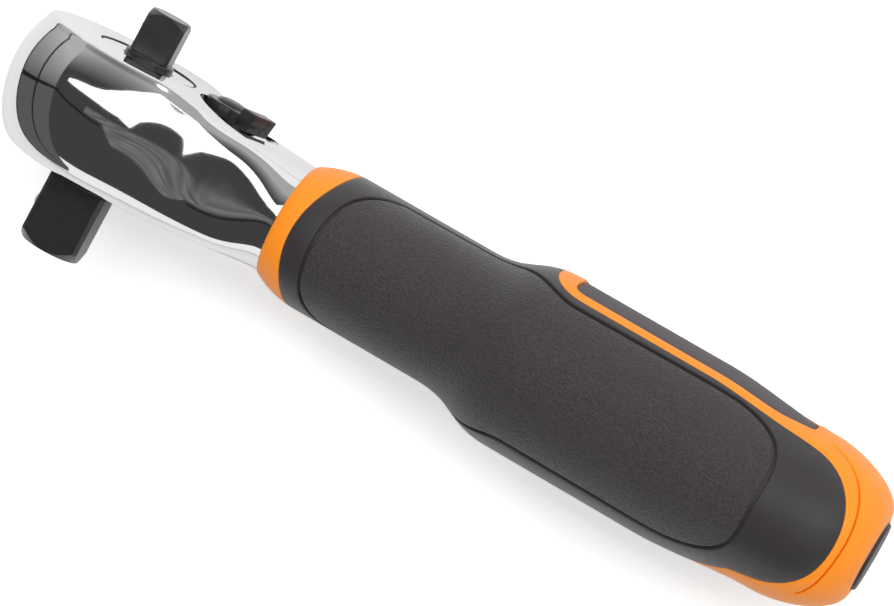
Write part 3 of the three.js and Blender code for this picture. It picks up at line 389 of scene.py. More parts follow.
# Bare bearing steel, ground and lapped: bright, with fine handling marks.
HANDLING_MARK = 0.3
bright, tree, place = blank_material("bare_bearing_steel")
marks = mottled(tree, place, HANDLING_MARK, 3.0)
dull = add_node(tree, "ShaderNodeMapRange", {"Value": marks, "To Min": 0.15, "To Max": 0.35})
surfaced(tree, {
    "Base Color": linear("#C6C7C9"), "Metallic": 1.0, "Roughness": dull.outputs["Result"]})
for radius, centre, body in (
        (LARGE_BALL, LARGE_BALL_PLACE, "large_ball"), (SMALL_BALL, SMALL_BALL_PLACE, "small_ball")):
    ball = bmesh.new()
    bmesh.ops.create_icosphere(ball, subdivisions=4, radius=radius)
    bmesh.ops.transform(ball, matrix=spindle_lay @ Matrix.Translation(centre), verts=ball.verts[:])
    piece = finished(ball, "bright_" + body, bright, body, [body.replace("_ball", "_detent_ball")])

# Hidden works: the pawl, its pin, the springs, the plunger and the spring rings keep their solids. They are
# stamped, wound or turned from steel and left bare.
for node in ("cover_spring_ring", "pawl_pin", "pawl", "large_detent_spring", "small_detent_spring",
             "lever_spring_ring", "lever_plunger", "lever_spring"):
    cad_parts[node].data.materials.clear()
    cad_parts[node].data.materials.append(bright)

# Reversing lever: a cast steel thumb lever on a post, blacked like the spindle. A low dome covers the pivot,
# and a block at the end of the arm gives the thumb its hold. It is shown thrown to the upper side.
LEVER_THROW = math.radians(28)
LEVER_BASE = 8.7
LEVER_PLATE_TOP = 10.6
LEVER_SETBACK = 2.6
LEVER_HUB = 4.0
LEVER_ARM = 4.4
LEVER_ARM_HALF = 2.5
LEVER_EDGE = 0.3
TAB_START = 1.2
TAB_OVERHANG = 0.6
TAB_TOP = 11.8
DOME_RADIUS = 2.6
DOME_TOP = 11.4
DOME_FULLNESS = 0.9
DOME_DROP = 0.1
POST_RADIUS = 3.0
HUB_STEPS = 40
HUB_OPENING = math.radians(48)
SMALL_ROUND = 64
SHARP_ANGLE = math.radians(30)


def rounded_block(outline, lift, edge):
    mesh = bmesh.new()
    base = mesh.faces.new([mesh.verts.new(corner) for corner in outline])
    raised = bmesh.ops.extrude_face_region(mesh, geom=[base])
    bmesh.ops.translate(
        mesh, vec=lift, verts=[v for v in raised["geom"] if isinstance(v, bmesh.types.BMVert)])
    bmesh.ops.recalc_face_normals(mesh, faces=mesh.faces[:])
    corners = [e for e in mesh.edges if len(e.link_faces) == 2 and e.calc_face_angle() > SHARP_ANGLE]
    bmesh.ops.bevel(
        mesh, geom=corners, offset=edge, offset_type="OFFSET", affect="EDGES", segments=3, profile=0.5,
        material=-1, clamp_overlap=True)
    return mesh


hub_arc = []
for step in range(HUB_STEPS + 1):
    turn = HUB_OPENING + (2 * math.pi - 2 * HUB_OPENING) * step / HUB_STEPS
    hub_arc.append((LEVER_HUB * math.cos(turn) - LEVER_SETBACK, LEVER_BASE, LEVER_HUB * math.sin(turn)))
arm_end = [(TAB_START, LEVER_BASE, -LEVER_ARM_HALF), (LEVER_ARM, LEVER_BASE, -LEVER_ARM_HALF),
           (LEVER_ARM, LEVER_BASE, LEVER_ARM_HALF), (TAB_START, LEVER_BASE, LEVER_ARM_HALF)]
lever = rounded_block(hub_arc + arm_end, (0, LEVER_PLATE_TOP - LEVER_BASE, 0), LEVER_EDGE)
tab = rounded_block(
    [(TAB_START, LEVER_BASE, -LEVER_ARM_HALF), (LEVER_ARM, LEVER_BASE, -LEVER_ARM_HALF),
     (LEVER_ARM + TAB_OVERHANG, TAB_TOP, -LEVER_ARM_HALF),
     (TAB_START + TAB_OVERHANG, TAB_TOP, -LEVER_ARM_HALF)],
    (0, 0, 2 * LEVER_ARM_HALF), LEVER_EDGE)
dome = turned(
    [(0, LEVER_BASE), (DOME_RADIUS, LEVER_BASE)]
    + bend((DOME_RADIUS, LEVER_PLATE_TOP), (DOME_RADIUS * DOME_FULLNESS, DOME_TOP - DOME_DROP),
           (DOME_RADIUS / 2, DOME_TOP), (0, DOME_TOP)), SMALL_ROUND)
bmesh.ops.translate(dome, vec=(-LEVER_SETBACK, 0, 0), verts=dome.verts[:])
post = turned([(0, POST_FLOOR), (POST_RADIUS, POST_FLOOR), (POST_RADIUS, LEVER_PLATE_TOP - LEVER_EDGE),
               (0, LEVER_PLATE_TOP - LEVER_EDGE)], SMALL_ROUND)
lever = combined(combined(combined(lever, tab, "UNION"), dome, "UNION"), post, "UNION")
lever_lay = Matrix.Translation((LEVER_X, 0, 0)) @ Matrix.Rotation(-LEVER_THROW, 4, "Y")
bmesh.ops.transform(lever, matrix=lever_lay, verts=lever.verts[:])
finished(lever, "thumb_lever", phosphate, "lever", ["reversing_lever"])

# Coil springs: wound from spring wire and hidden in their bores. Each keeps its solid, on a mesh of its own.
LARGE_BALL_TRAVEL = 0.9
SMALL_BALL_TRAVEL = 0.45
PLUNGER_TRAVEL = 0.5
for node, joint, lay, travel in (
        ("large_detent_spring", "large_detent_press", spindle_lay, LARGE_BALL_TRAVEL),
        ("small_detent_spring", "small_detent_press", spindle_lay, SMALL_BALL_TRAVEL),
        ("lever_spring", "plunger_press", lever_lay, PLUNGER_TRAVEL)):
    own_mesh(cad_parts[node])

# Orange core of the grip: satin polypropylene moulded on the tang. It shows as the collar behind the neck, as
# the frame of the label inlay on top, and as the butt and its heel. A fine moulding groove follows the
# rubber's edge round the butt.
GRIP_FRONT = 31.3
COLLAR_HALF = 9.35
WAIST_HALF = 11.2
WAIST_START = 38.5
SWELL_START = 60.5
PALM_HALF = 14.4
PALM_START = 74.5
TAIL_START = 100.0
TAIL_HALF = 12.95
BUTT_START = 119.0
BUTT_HALF = 6.2
GRIP_END = 131.9
CAP_HOLE = 5.8
WIDTH_RATIO = 1.06
SECTION_POWER = 2.2
GIRTH = 13.5
PROBE = 0.02
CUT_SPACING = 1.4
ROUND_STEPS = 3
UPRIGHT = 1e-9
TOUCHING = 1e-4
GRIP_CREASE = 40

grip_line = (
    bend((GRIP_FRONT, COLLAR_HALF), (33.7, 10.6), (36.1, WAIST_HALF), (WAIST_START, WAIST_HALF), 24)
    + bend((SWELL_START, WAIST_HALF), (67.5, WAIST_HALF), (67.5, PALM_HALF), (PALM_START, PALM_HALF), 48)
    + bend((TAIL_START, PALM_HALF), (106.3, PALM_HALF), (112.7, TAIL_HALF), (BUTT_START, TAIL_HALF), 32)
    + bend((BUTT_START, TAIL_HALF), (124.2, TAIL_HALF), (GRIP_END, 10.1), (GRIP_END, BUTT_HALF), 48)[1:]
    + [(GRIP_END, CAP_HOLE)])
steps_between = [math.dist(a, b) for a, b in zip(grip_line, grip_line[1:])]
line_lengths = list(accumulate(steps_between, initial=0.0))
GRIP_LENGTH = line_lengths[-1]


def on_line(length):
    i = min(max(bisect(line_lengths, length) - 1, 0), len(grip_line) - 2)
    share = (length - line_lengths[i]) / (line_lengths[i + 1] - line_lengths[i])
    (x0, half0), (x1, half1) = grip_line[i], grip_line[i + 1]
    return x0 + (x1 - x0) * share, half0 + (half1 - half0) * share


def length_at(x):
    i = min(max(bisect(grip_line, (x, 0.0)) - 1, 0), len(grip_line) - 2)
    while grip_line[i + 1][0] - grip_line[i][0] < UPRIGHT:
        i -= 1
    share = (x - grip_line[i][0]) / (grip_line[i + 1][0] - grip_line[i][0])
    return line_lengths[i] + (line_lengths[i + 1] - line_lengths[i]) * share


def skin(length, turn):
    x, half = on_line(length)
    up = abs(math.sin(turn) / half) ** SECTION_POWER
    across = abs(math.cos(turn) / (half * WIDTH_RATIO)) ** SECTION_POWER
    reach = (up + across) ** (-1 / SECTION_POWER)
    return Vector((x, reach * math.sin(turn), reach * math.cos(turn)))


def side(x, y):
    half = on_line(length_at(x))[1]
    z = half * WIDTH_RATIO * max(1 - abs(y / half) ** SECTION_POWER, 0) ** (1 / SECTION_POWER)
    return length_at(x), GIRTH * math.atan2(y, z)


def plan(x, z):
    half = on_line(length_at(x))[1]
    y = half * max(1 - abs(z / half / WIDTH_RATIO) ** SECTION_POWER, 0) ** (1 / SECTION_POWER)
    return length_at(x), GIRTH * math.atan2(y, z)


HALF_ROUND = math.pi * GIRTH


def lower(outline):
    return [(length, -v) for length, v in outline]


def behind(outline):
    return [(length, HALF_ROUND - v) for length, v in outline]


def grown(outline, by):
    area = sum(a[0] * b[1] - b[0] * a[1] for a, b in zip(outline, outline[1:] + outline[:1]))
    way = by * math.copysign(1, area)
    moved = []
    for before, here, after in zip(outline[-1:] + outline[:-1], outline, outline[1:] + outline[:1]):
        run = (Vector(after) - Vector(before)).normalized()
        moved.append((here[0] + run.y * way, here[1] - run.x * way))
    return moved


def wrapped(mesh, outline, level, wall, edge, holes=()):
    pattern = bmesh.new()
    for ring in (outline, *holes):
        verts = [pattern.verts.new((*point, level - wall)) for point in ring]
        for pair in zip(verts, verts[1:] + verts[:1]):
            pattern.edges.new(pair)
    bmesh.ops.remove_doubles(pattern, verts=pattern.verts[:], dist=TOUCHING)
    bmesh.ops.triangle_fill(pattern, use_beauty=True, edges=pattern.edges[:], normal=(0, 0, 1))
    raised = bmesh.ops.extrude_face_region(pattern, geom=pattern.faces[:])["geom"]
    bmesh.ops.translate(
        pattern, vec=(0, 0, wall - edge), verts=[v for v in raised if isinstance(v, bmesh.types.BMVert)])
    top = [face for face in raised if isinstance(face, bmesh.types.BMFace)]
    quarter = [math.pi / 2 * step / ROUND_STEPS for step in range(ROUND_STEPS + 1)]
    for a, b in zip(quarter, quarter[1:]):
        bmesh.ops.inset_region(
            pattern, faces=top, thickness=edge * (math.cos(a) - math.cos(b)),
            depth=edge * (math.sin(b) - math.sin(a)), use_boundary=True, use_even_offset=False)
    for axis in (0, 1):
        low = min(v.co[axis] for v in pattern.verts)
        high = max(v.co[axis] for v in pattern.verts)
        across = Vector((axis == 0, axis == 1, 0))
        for cut in range(1, int((high - low) / CUT_SPACING)):
            bmesh.ops.bisect_plane(
                pattern, geom=pattern.verts[:] + pattern.edges[:] + pattern.faces[:], dist=TOUCHING,
                plane_co=across * (low + cut * CUT_SPACING), plane_no=across)
    for vert in pattern.verts:
        length, v, lift = vert.co
        turn = v / GIRTH
        along = skin(length + PROBE, turn) - skin(length - PROBE, turn)
        around = skin(length, turn + PROBE / GIRTH) - skin(length, turn - PROBE / GIRTH)
        vert.co = skin(length, turn) + along.cross(around).normalized() * lift
    bmesh.ops.recalc_face_normals(pattern, faces=pattern.faces[:])
    data = bpy.data.meshes.new("wrapped")
    pattern.to_mesh(data)
    pattern.free()
    mesh.from_mesh(data)
    bpy.data.meshes.remove(data)


# Satin polypropylene, moulded in orange: even colour, a soft broad shine and a faint spark-eroded skin.
MOULD_SKIN = 0.25
orange, tree, place = blank_material("moulded_orange_polypropylene")
fine = mottled(tree, place, MOULD_SKIN, 2.0)
rough = bumped(tree, fine, 0.006, 0.4)
surfaced(tree, {
    "Base Color": linear("#FF900E"), "Roughness": 0.42, "IOR": 1.49, "Subsurface Weight": 0.15,
    "Subsurface Scale": 1.5 * MM, "Subsurface Radius": (1.0, 0.35, 0.1), "Normal": rough})

SEAM = 0.22
CORE_EDGE = 0.2
CORE_WALL = 1.3
BASE_DEPTH = 0.65
BASE_EDGE = 0.05
BASE_START = 0.4
BASE_SHORT = 0.1
COLLAR_SIDE = 34.4
COLLAR_BOW = 3.2
COLLAR_BOW_HEIGHT = 10.5
FRONT_STEPS = 96
TONGUE_START = 115.0
TONGUE_HALF = 11.1
TONGUE_END = 127.3
TONGUE_ROUND = 7.6
INLAY_TIP = 71.5
HEEL = 106.5
HEEL_BOW = 4.0
BOTTOM_V = -HALF_ROUND / 2

# Outlines on the grip's skin: each point gives its place along the handle, then its height on the side or its
# distance from the middle as seen from above.
inlay_edge = (
    bend(plan(INLAY_TIP, 0), plan(INLAY_TIP, 4.0), plan(71.6, 8.4), plan(78.0, 8.5), 16)
    + bend(side(TAIL_START, 12.4), side(106.0, 11.9), side(110.0, 11.5), side(TONGUE_START, TONGUE_HALF), 8)
    + bend(side(TONGUE_START, TONGUE_HALF), side(121.0, 10.9), side(TONGUE_END, TONGUE_ROUND),
           side(TONGUE_END, 0), 20)[1:])
heel_edge = (
    bend((length_at(HEEL), BOTTOM_V), (length_at(HEEL), BOTTOM_V + HEEL_BOW), side(110.0, -13.4),
         side(TONGUE_START, -TONGUE_HALF), 12)
    + bend(side(TONGUE_START, -TONGUE_HALF), side(121.0, -10.0), side(TONGUE_END, -TONGUE_ROUND),
           side(TONGUE_END, 0), 20)[1:])
near_edge = heel_edge + inlay_edge[-2::-1]
far_edge = [(length, HALF_ROUND - v) for length, v in near_edge[-2::-1]]
front_edge = []
for step in range(FRONT_STEPS + 1):
    v = (step / FRONT_STEPS * 2 - 0.5) * HALF_ROUND
    bow = skin(length_at(COLLAR_SIDE), v / GIRTH).y / COLLAR_BOW_HEIGHT
    front_edge.append((length_at(COLLAR_SIDE + COLLAR_BOW * bow * bow), v))
LABEL_GAP = 0.1
LABEL_FRONT = 75.2
LABEL_REAR = 116.0
LABEL_HALF = 6.6
label_half = (
    [plan(LABEL_FRONT, 0)]
    + bend(plan(LABEL_FRONT, 4.4), plan(LABEL_FRONT, 5.9), plan(75.8, LABEL_HALF), plan(77.6, LABEL_HALF), 6)
    + bend(plan(106.5, LABEL_HALF), plan(110.5, LABEL_HALF), plan(112.5, 5.6), plan(115.6, 4.2), 8)
    + [plan(LABEL_REAR, 3.7), plan(LABEL_REAR, 0)])
label_outline = label_half + behind(label_half)[-2:0:-1]
GROOVE_HALF = 0.17
GROOVE_REAR = 128.6
groove_line = (
    bend(side(119.4, 12.2), side(125.0, 10.9), side(GROOVE_REAR, 7.0), side(GROOVE_REAR, 1.0), 16)
    + bend(side(GROOVE_REAR, 1.0), side(128.5, -4.0), side(127.4, -7.5), side(125.5, -9.3), 12)[1:])
groove = []
for points in (groove_line, groove_line[::-1]):
    for before, here, after in zip(points[:1] + points[:-1], points, points[1:] + points[-1:]):
        run = (Vector(after) - Vector(before)).normalized()
        groove.append((here[0] + run.y * GROOVE_HALF, here[1] - run.x * GROOVE_HALF))

core = bmesh.new()
rear_edge = near_edge + far_edge
SEAM_LOW = BOTTOM_V - SEAM
SEAM_HIGH = BOTTOM_V + 2 * HALF_ROUND + SEAM
rear_outline = (
    [(length_at(HEEL), SEAM_LOW)] + rear_edge + [(length_at(HEEL), SEAM_HIGH)]
    + [(GRIP_LENGTH, SEAM_HIGH), (GRIP_LENGTH, SEAM_LOW)])
collar_outline = (
    [(0.0, SEAM_LOW), (0.0, SEAM_HIGH), (front_edge[-1][0], SEAM_HIGH)] + front_edge[::-1]
    + [(front_edge[0][0], SEAM_LOW)])
wrapped(core, collar_outline, 0, CORE_WALL, CORE_EDGE)
core_holes = [grown(label_outline, LABEL_GAP), groove, behind(groove)]
wrapped(core, rear_outline, 0, CORE_WALL, CORE_EDGE, core_holes)
base_outline = [
    (BASE_START, -HALF_ROUND), (BASE_START, HALF_ROUND), (GRIP_LENGTH - BASE_SHORT, HALF_ROUND),
    (GRIP_LENGTH - BASE_SHORT, -HALF_ROUND)]
wrapped(core, base_outline, -BASE_DEPTH, CORE_WALL, BASE_EDGE)
finished(core, "orange_core", orange, "handle", ["grip_core"], GRIP_CREASE)

# Rubber sleeve: smooth black thermoplastic rubber, moulded over the core. Its front edge is bowed, a spine
# runs along the top and the bottom, and a round tongue runs back on each side behind the grained pads.
SLEEVE_EDGE = 0.2
SLEEVE_WALL = 1.2
BED_INSET = 0.5
BED_DEPTH = BASE_DEPTH - 0.1
BED_WALL = 0.6
PAD_GROOVE = 0.3
PAD_FRONT = 38.4
PAD_REAR = 114.2
PAD_LEVEL = 11.4

# Smooth thermoplastic rubber off a polished mould: near black, with a soft shine and a faint skin.
RUBBER_SKIN = 0.3
rubber, tree, place = blank_material("smooth_moulded_rubber")
fine = mottled(tree, place, RUBBER_SKIN, 3.0)
rough = bumped(tree, fine, 0.01, 0.5)
surfaced(tree, {
    "Base Color": linear("#302C2D"), "Roughness": 0.44, "IOR": 1.5, "Sheen Weight": 0.1,
    "Normal": rough})

pad_half = (
    bend(side(PAD_FRONT, 0), side(PAD_FRONT, 6.5), side(40.5, 10.2), plan(46.5, 3.0), 16)
    + bend(plan(61.0, 2.4), plan(67.0, 2.6), side(71.0, 11.3), side(77.0, PAD_LEVEL), 16)
    + bend(side(105.0, PAD_LEVEL), side(111.0, 10.6), side(PAD_REAR, 8.5), side(PAD_REAR, 4.0), 12)
    + [side(PAD_REAR, 0)])
pad_outline = pad_half + lower(pad_half)[-2:0:-1]
sleeve_outline = (
    [(front_edge[0][0], SEAM_LOW)] + front_edge + [(front_edge[-1][0], SEAM_HIGH)]
    + [(length_at(HEEL), SEAM_HIGH)] + rear_edge[::-1] + [(length_at(HEEL), SEAM_LOW)])
pad_holes = [grown(pad_outline, PAD_GROOVE), grown(behind(pad_outline), PAD_GROOVE)]
sleeve = bmesh.new()
wrapped(sleeve, sleeve_outline, 0, SLEEVE_WALL, SLEEVE_EDGE, pad_holes)
wrapped(sleeve, grown(sleeve_outline, -BED_INSET), -BED_DEPTH, BED_WALL, BASE_EDGE)
finished(sleeve, "rubber_sleeve", rubber, "handle", ["grip_sleeve"], GRIP_CREASE)

# Side pads: the same rubber with a fine grain, eroded by sparks into the mould. They are set in the sleeve
# with a narrow dark groove all round.
PAD_EDGE = 0.25
PAD_WALL = 0.9

# The same rubber off a spark-eroded mould: a fine grain, paler on its peaks, that breaks up the shine.
GRAIN = 0.36
grained, tree, place = blank_material("spark_grained_rubber")
grit = mottled(tree, place, GRAIN, 4.0)
peaks = add_node(tree, "ShaderNodeMapRange", {"Value": grit, "From Min": 0.35, "From Max": 0.65})
tint = add_node(tree, "ShaderNodeMix", {
    "Factor": peaks.outputs["Result"], "A": linear("#292526"), "B": linear("#3B3637")}, data_type="RGBA")
rough = bumped(tree, peaks.outputs["Result"], 0.07, 1.0)
surfaced(tree, {
    "Base Color": tint.outputs["Result"], "Roughness": 0.52, "IOR": 1.5, "Sheen Weight": 0.15,
    "Normal": rough})
for outline, name, node in (
        (pad_outline, "grained_pad_upper", "upper_side_pad"),
        (behind(pad_outline), "grained_pad_lower", "lower_side_pad")):
    pad = bmesh.new()
    wrapped(pad, grown(outline, -PAD_GROOVE), 0, PAD_WALL, PAD_EDGE)
    finished(pad, name, grained, "handle", [node], GRIP_CREASE)

# Label insert: a dark grey plate, moulded on its own and snapped into the inlay on top, a little below its
# frame. Its face has a fine spark-eroded grain and is left bare.
LABEL_SINK = 0.3
LABEL_WALL = 0.9
LABEL_EDGE = 0.1

# Dark grey plastic off a spark-eroded mould: matt, with a very fine grain.
LABEL_GRAIN = 0.18
label_plastic, tree, place = blank_material("spark_eroded_dark_plastic")
grit = mottled(tree, place, LABEL_GRAIN, 3.0)
rough = bumped(tree, grit, 0.03, 0.5)
surfaced(tree, {"Base Color": linear("#4A4548"), "Roughness": 0.6, "IOR": 1.5, "Normal": rough})

plate = bmesh.new()
wrapped(plate, grown(label_outline, -LABEL_GAP), -LABEL_SINK, LABEL_WALL, LABEL_EDGE)
plate_piece = finished(plate, "label_plate", label_plastic, "handle", ["top_label_insert"], GRIP_CREASE)

# Butt plug: a black plastic disc with a stem, moulded and pressed into the end of the grip. Its rim stands
# just proud of the butt.
CAP_RADIUS = 5.6
CAP_BACK = 131.2
CAP_FRONT = 132.4
CAP_EDGE = 0.4
CAP_STEM = 3.0
CAP_STEM_END = 126.2

# Black moulded plastic: near black and satin, with a faint skin off the mould.
CAP_SKIN = 0.3
black_plastic, tree, place = blank_material("black_moulded_plastic")
fine = mottled(tree, place, CAP_SKIN, 2.0)
rough = bumped(tree, fine, 0.01, 0.4)
surfaced(tree, {"Base Color": linear("#2C2830"), "Roughness": 0.45, "IOR": 1.5, "Normal": rough})

plug = turned(
    [(0, CAP_STEM_END), (CAP_STEM, CAP_STEM_END), (CAP_STEM, CAP_BACK), (CAP_RADIUS, CAP_BACK)]
    + bend((CAP_RADIUS, CAP_FRONT - CAP_EDGE), (CAP_RADIUS, CAP_FRONT - CAP_EDGE / 2),
           (CAP_RADIUS - CAP_EDGE / 2, CAP_FRONT), (CAP_RADIUS - CAP_EDGE, CAP_FRONT), 6)
    + [(0, CAP_FRONT)])
bmesh.ops.rotate(plug, cent=(0, 0, 0), matrix=Matrix.Rotation(-math.pi / 2, 3, "Z"), verts=plug.verts[:])
finished(plug, "butt_plug", black_plastic, "handle", ["butt_cap"])

# Seal ring on the lever's post: a small black ring pressed into the post's groove to keep dirt out. It keeps
# its solid and lies hidden in the head, so it shares the plug's dark finish.
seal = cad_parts["lever_seal_ring"].data
seal.materials.clear()
seal.materials.append(black_plastic)

# Floor: a plain white paper sheet under the tool. It keeps the tool's shadow, and a little glow that only the
# camera sees makes it read as white.
FLOOR_HALF = 3.0
floor = bmesh.new()
bmesh.ops.create_grid(floor, x_segments=1, y_segments=1, size=FLOOR_HALF)
bmesh.ops.translate(floor, vec=(0, 0, CAD_BOX[0].z), verts=floor.verts[:])
floor_data = bpy.data.meshes.new("floor_sheet")
floor.to_mesh(floor_data)
floor.free()
floor_piece = bpy.data.objects.new("floor_sheet", floor_data)
bpy.context.scene.collection.objects.link(floor_piece)

# White coated paper: matt, and lifted a little where the camera sees it.
PAPER_LIFT = 0.45
paper = bpy.data.materials.new("white_paper_sheet")
paper.use_nodes = True
tree = paper.node_tree
tree.nodes.clear()
path = add_node(tree, "ShaderNodeLightPath")
lift = add_node(
    tree, "ShaderNodeMath", {0: path.outputs["Is Camera Ray"], 1: PAPER_LIFT}, operation="MULTIPLY")
matt = add_node(tree, "ShaderNodeBsdfDiffuse", {"Color": linear("#E8E8E8")})
glow = add_node(tree, "ShaderNodeEmission", {"Strength": lift.outputs[0]})
both = add_node(tree, "ShaderNodeAddShader", {0: matt.outputs[0], 1: glow.outputs[0]})
add_node(tree, "ShaderNodeOutputMaterial", {"Surface": both.outputs[0]})
floor_data.materials.append(paper)

# Studio light: a pale tent all round and one long softbox overhead, tilted to the tool. The tent reads as
# white in reflections, and the lamp's own face is left to the card below that stands for it.
world = bpy.data.worlds.new("pale_tent")
bpy.context.scene.world = world
world.use_nodes = True
tree = world.node_tree
tree.nodes.clear()
SKY = 0.52
path = add_node(tree, "ShaderNodeLightPath")
seen = add_node(tree, "ShaderNodeMath", {0: path.outputs["Is Camera Ray"], 1: path.outputs["Is Glossy Ray"]},
                operation="MAXIMUM")
level = add_node(tree, "ShaderNodeMath", {0: seen.outputs[0], 1: 1 - SKY, 2: SKY}, operation="MULTIPLY_ADD")
sky = add_node(tree, "ShaderNodeBackground", {"Color": (1, 1, 1, 1), "Strength": level.outputs[0]})
add_node(tree, "ShaderNodeOutputWorld", {"Surface": sky.outputs["Background"]})
SOFTBOX_PLACE = (0.2, 0.38, 0.78)
SOFTBOX_TILT = math.radians(-25)
SOFTBOX_LENGTH = 1.7
SOFTBOX_WIDTH = 0.38
SOFTBOX_POWER = 8.5
lamp_data = bpy.data.lights.new("softbox", "AREA")
lamp_data.shape = "RECTANGLE"
lamp_data.size = SOFTBOX_LENGTH
lamp_data.size_y = SOFTBOX_WIDTH
lamp_data.energy = SOFTBOX_POWER
lamp = bpy.data.objects.new("softbox", lamp_data)
lamp.location = SOFTBOX_PLACE
lamp.rotation_euler = (SOFTBOX_TILT, 0, 0)
lamp.visible_glossy = False
bpy.context.scene.collection.objects.link(lamp)

# Reflection cards: flat boards that show in reflections alone, as the room does in the photograph. There are
# a dark ceiling, paler on the far side, the softbox's face, a ribbed dark cloth, and a framed grey board
# beside the head.
CEILING = 0.84
CEILING_REACH = 2.2
BOX_LEVEL = 0.8
BOX_BAR = 0.79
CLOTH_LEVEL = 0.82
BOARD_X = -0.075
BOARD_NEAR = MIDDLE - 0.5
BOARD_FAR = MIDDLE + 0.07
BOARD_LOW_NEAR = 0.043
BOARD_LOW_FAR = -0.016
BOARD_HIGH = 0.075
BOARD_FRAME = 0.003
BOARD_RAIL = 0.035
BOARD_BAR = MIDDLE - 0.012
BOARD_BAR_LOW = -0.0065
BOARD_SHADE = (MIDDLE - 0.012, MIDDLE + 0.035)
RIB_LENGTH = 0.5
RIB_WIDTH = 0.012
RIB_SHADE = (0.3, 0.75)
CEILING_SHADE = (0.3, 0.85)
SOFTBOX_GLOW = 1.6
SOFTBOX_TONES = ("#FFFFFF", "#FFFFFF")
BAR_TONES = ("#1E1F21", "#1E1F21")
CEILING_OUTLINE = (
    (-CEILING_REACH, -CEILING_REACH), (CEILING_REACH, -CEILING_REACH), (CEILING_REACH, CEILING_REACH),
    (-CEILING_REACH, CEILING_REACH))
SOFTBOX_OUTLINE = (
    (-0.8, 0.1), (-0.62, 0.08), (-0.3, 0.06), (0.0, 0.04), (0.5, -0.02), (0.74, -0.11), (0.8, 0.02),
    (1.0, 0.15), (1.2, 0.3), (1.2, 0.85), (0.95, 0.8), (0.6, 0.5), (0.28, 0.33), (0.0, 0.24),
    (-0.3, 0.2), (-0.62, 0.18), (-0.8, 0.15))
SOFTBOX_BAR_OUTLINE = ((0.93, 0.06), (1.0, 0.06), (1.1, 0.75), (1.03, 0.75))
CLOTH_OUTLINE = (
    (-0.22, -0.09), (0.1, -0.09), (0.6, -0.14), (1.0, -0.16), (1.05, -0.42), (0.6, -0.42), (0.3, -0.2),
    (0.1, -0.17), (-0.22, -0.17))
CEILING_BAR_OUTLINE = ((-1.6, -0.16), (0.25, -0.24), (0.25, -0.215), (-1.6, -0.12))


def card(name, corners, tones, reach=(0, 1), ribs=False, strength=1.0):
    sheet = bmesh.new()
    sheet.faces.new([sheet.verts.new(corner) for corner in corners])
    data = bpy.data.meshes.new(name)
    sheet.to_mesh(data)
    sheet.free()
    board, tree, place = blank_material(name)
    if ribs:
        stretched = add_node(tree, "ShaderNodeVectorMath", {0: place, 1: (1 / RIB_LENGTH, 1 / RIB_WIDTH, 0)},
                             operation="MULTIPLY")
        noise = add_node(tree, "ShaderNodeTexNoise", {"Vector": stretched.outputs[0], "Scale": 1.0})
        value = noise.outputs["Fac"]
    else:
        value = add_node(tree, "ShaderNodeSeparateXYZ", {"Vector": place}).outputs["Y"]
    share = add_node(tree, "ShaderNodeMapRange", {"Value": value, "From Min": reach[0], "From Max": reach[1]})
    tone = add_node(tree, "ShaderNodeMix", {
        "Factor": share.outputs["Result"], "A": linear(tones[0]), "B": linear(tones[1])}, data_type="RGBA")
    glow = add_node(tree, "ShaderNodeEmission", {"Color": tone.outputs["Result"], "Strength": strength})
    add_node(tree, "ShaderNodeOutputMaterial", {"Surface": glow.outputs["Emission"]})
    data.materials.append(board)
    piece = bpy.data.objects.new(name, data)
    piece.visible_camera = False
    piece.visible_diffuse = False
    piece.visible_shadow = False
    bpy.context.scene.collection.objects.link(piece)


def overhead(outline, level):
    return [(x, y, level) for x, y in outline]


def upright(outline, offset):
    return [(BOARD_X + offset, y, z) for y, z in outline]


def board_strip(name, offset, low, high, tones, reach=(0, 1)):
    card(name, upright((
        (BOARD_NEAR, BOARD_LOW_NEAR + low), (BOARD_FAR, BOARD_LOW_FAR + low),
        (BOARD_FAR, BOARD_LOW_FAR + high), (BOARD_NEAR, BOARD_LOW_NEAR + high)), offset), tones, reach)


card("dark_ceiling", overhead(CEILING_OUTLINE, CEILING), ("#434344", "#B2B2B3"), CEILING_SHADE)
card("softbox_face", overhead(SOFTBOX_OUTLINE, BOX_LEVEL), SOFTBOX_TONES, strength=SOFTBOX_GLOW)
card("softbox_bar", overhead(SOFTBOX_BAR_OUTLINE, BOX_BAR), ("#6A6B6E", "#6A6B6E"))
card("ribbed_cloth", overhead(CLOTH_OUTLINE, CLOTH_LEVEL), ("#2B2B2C", "#9A9999"), RIB_SHADE, ribs=True)
board_strip("grey_board", 0, 0, BOARD_HIGH, ("#5E5E5F", "#BCBCBD"), BOARD_SHADE)
card("ceiling_bar", overhead(CEILING_BAR_OUTLINE, CLOTH_LEVEL), BAR_TONES)
card("board_bar", upright((
    (BOARD_BAR, BOARD_BAR_LOW), (BOARD_BAR + BOARD_FRAME, BOARD_BAR_LOW),
    (BOARD_BAR + BOARD_FRAME, BOARD_HIGH), (BOARD_BAR, BOARD_HIGH)), MM), BAR_TONES)
board_strip("board_frame", MM, 0, BOARD_FRAME, ("#141516", "#141516"))
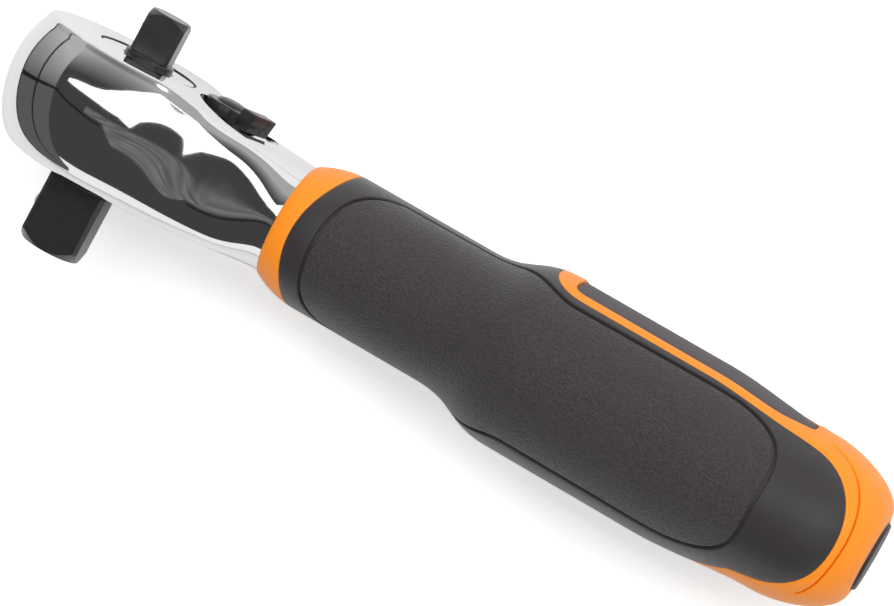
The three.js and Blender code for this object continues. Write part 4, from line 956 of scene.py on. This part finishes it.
board_strip("board_rail", MM, BOARD_RAIL, BOARD_RAIL + BOARD_FRAME, BAR_TONES)

# Camera: a long lens above the tool. It was fitted to the photograph by the head's place, the two squares and
# the handle's length.
IMAGE_WIDTH = 894
IMAGE_CENTRE = Vector((447.0, 303.0))
HEAD_PIXEL = Vector((117.6, 120.4))
FOCAL_PIXELS = 3900.0
HEAD_SCALE = 6.55
DRIVE_AXIS_ANGLE = math.radians(61.9)
DRIVE_AXIS_LEAN = math.radians(7.5)
HANDLE_LEAN = math.radians(15.5)
SENSOR = 36.0
ray = ((HEAD_PIXEL - IMAGE_CENTRE) / FOCAL_PIXELS).to_3d() + Vector((0, 0, 1))
head_spot = ray * (FOCAL_PIXELS / HEAD_SCALE)
sight = ray.normalized()
right = (Vector((1, 0, 0)) - sight * sight.x).normalized()
down = sight.cross(right)
drive_axis = (
    math.cos(DRIVE_AXIS_LEAN) * (math.cos(DRIVE_AXIS_ANGLE) * right - math.sin(DRIVE_AXIS_ANGLE) * down)
    - math.sin(DRIVE_AXIS_LEAN) * sight)
handle_angle = math.acos(-math.tan(DRIVE_AXIS_LEAN) * math.tan(HANDLE_LEAN)) - DRIVE_AXIS_ANGLE
handle_axis = (
    math.cos(HANDLE_LEAN) * (math.cos(handle_angle) * right + math.sin(handle_angle) * down)
    - math.sin(HANDLE_LEAN) * sight)
tool_axes = Matrix((handle_axis, drive_axis, handle_axis.cross(drive_axis)))
camera_data = bpy.data.cameras.new("camera")
camera_data.sensor_fit = "HORIZONTAL"
camera_data.sensor_width = SENSOR
camera_data.lens = FOCAL_PIXELS * SENSOR / IMAGE_WIDTH
camera = bpy.data.objects.new("camera", camera_data)
camera_axes = tool_axes @ Matrix.Diagonal((1, -1, -1))
camera_place = tool_axes @ -head_spot * MM + Vector((0, MIDDLE, 0))
camera.matrix_world = Matrix.Translation(camera_place) @ camera_axes.to_4x4()
bpy.context.scene.collection.objects.link(camera)
bpy.context.scene.camera = camera
bpy.context.scene.view_settings.view_transform = "Standard"
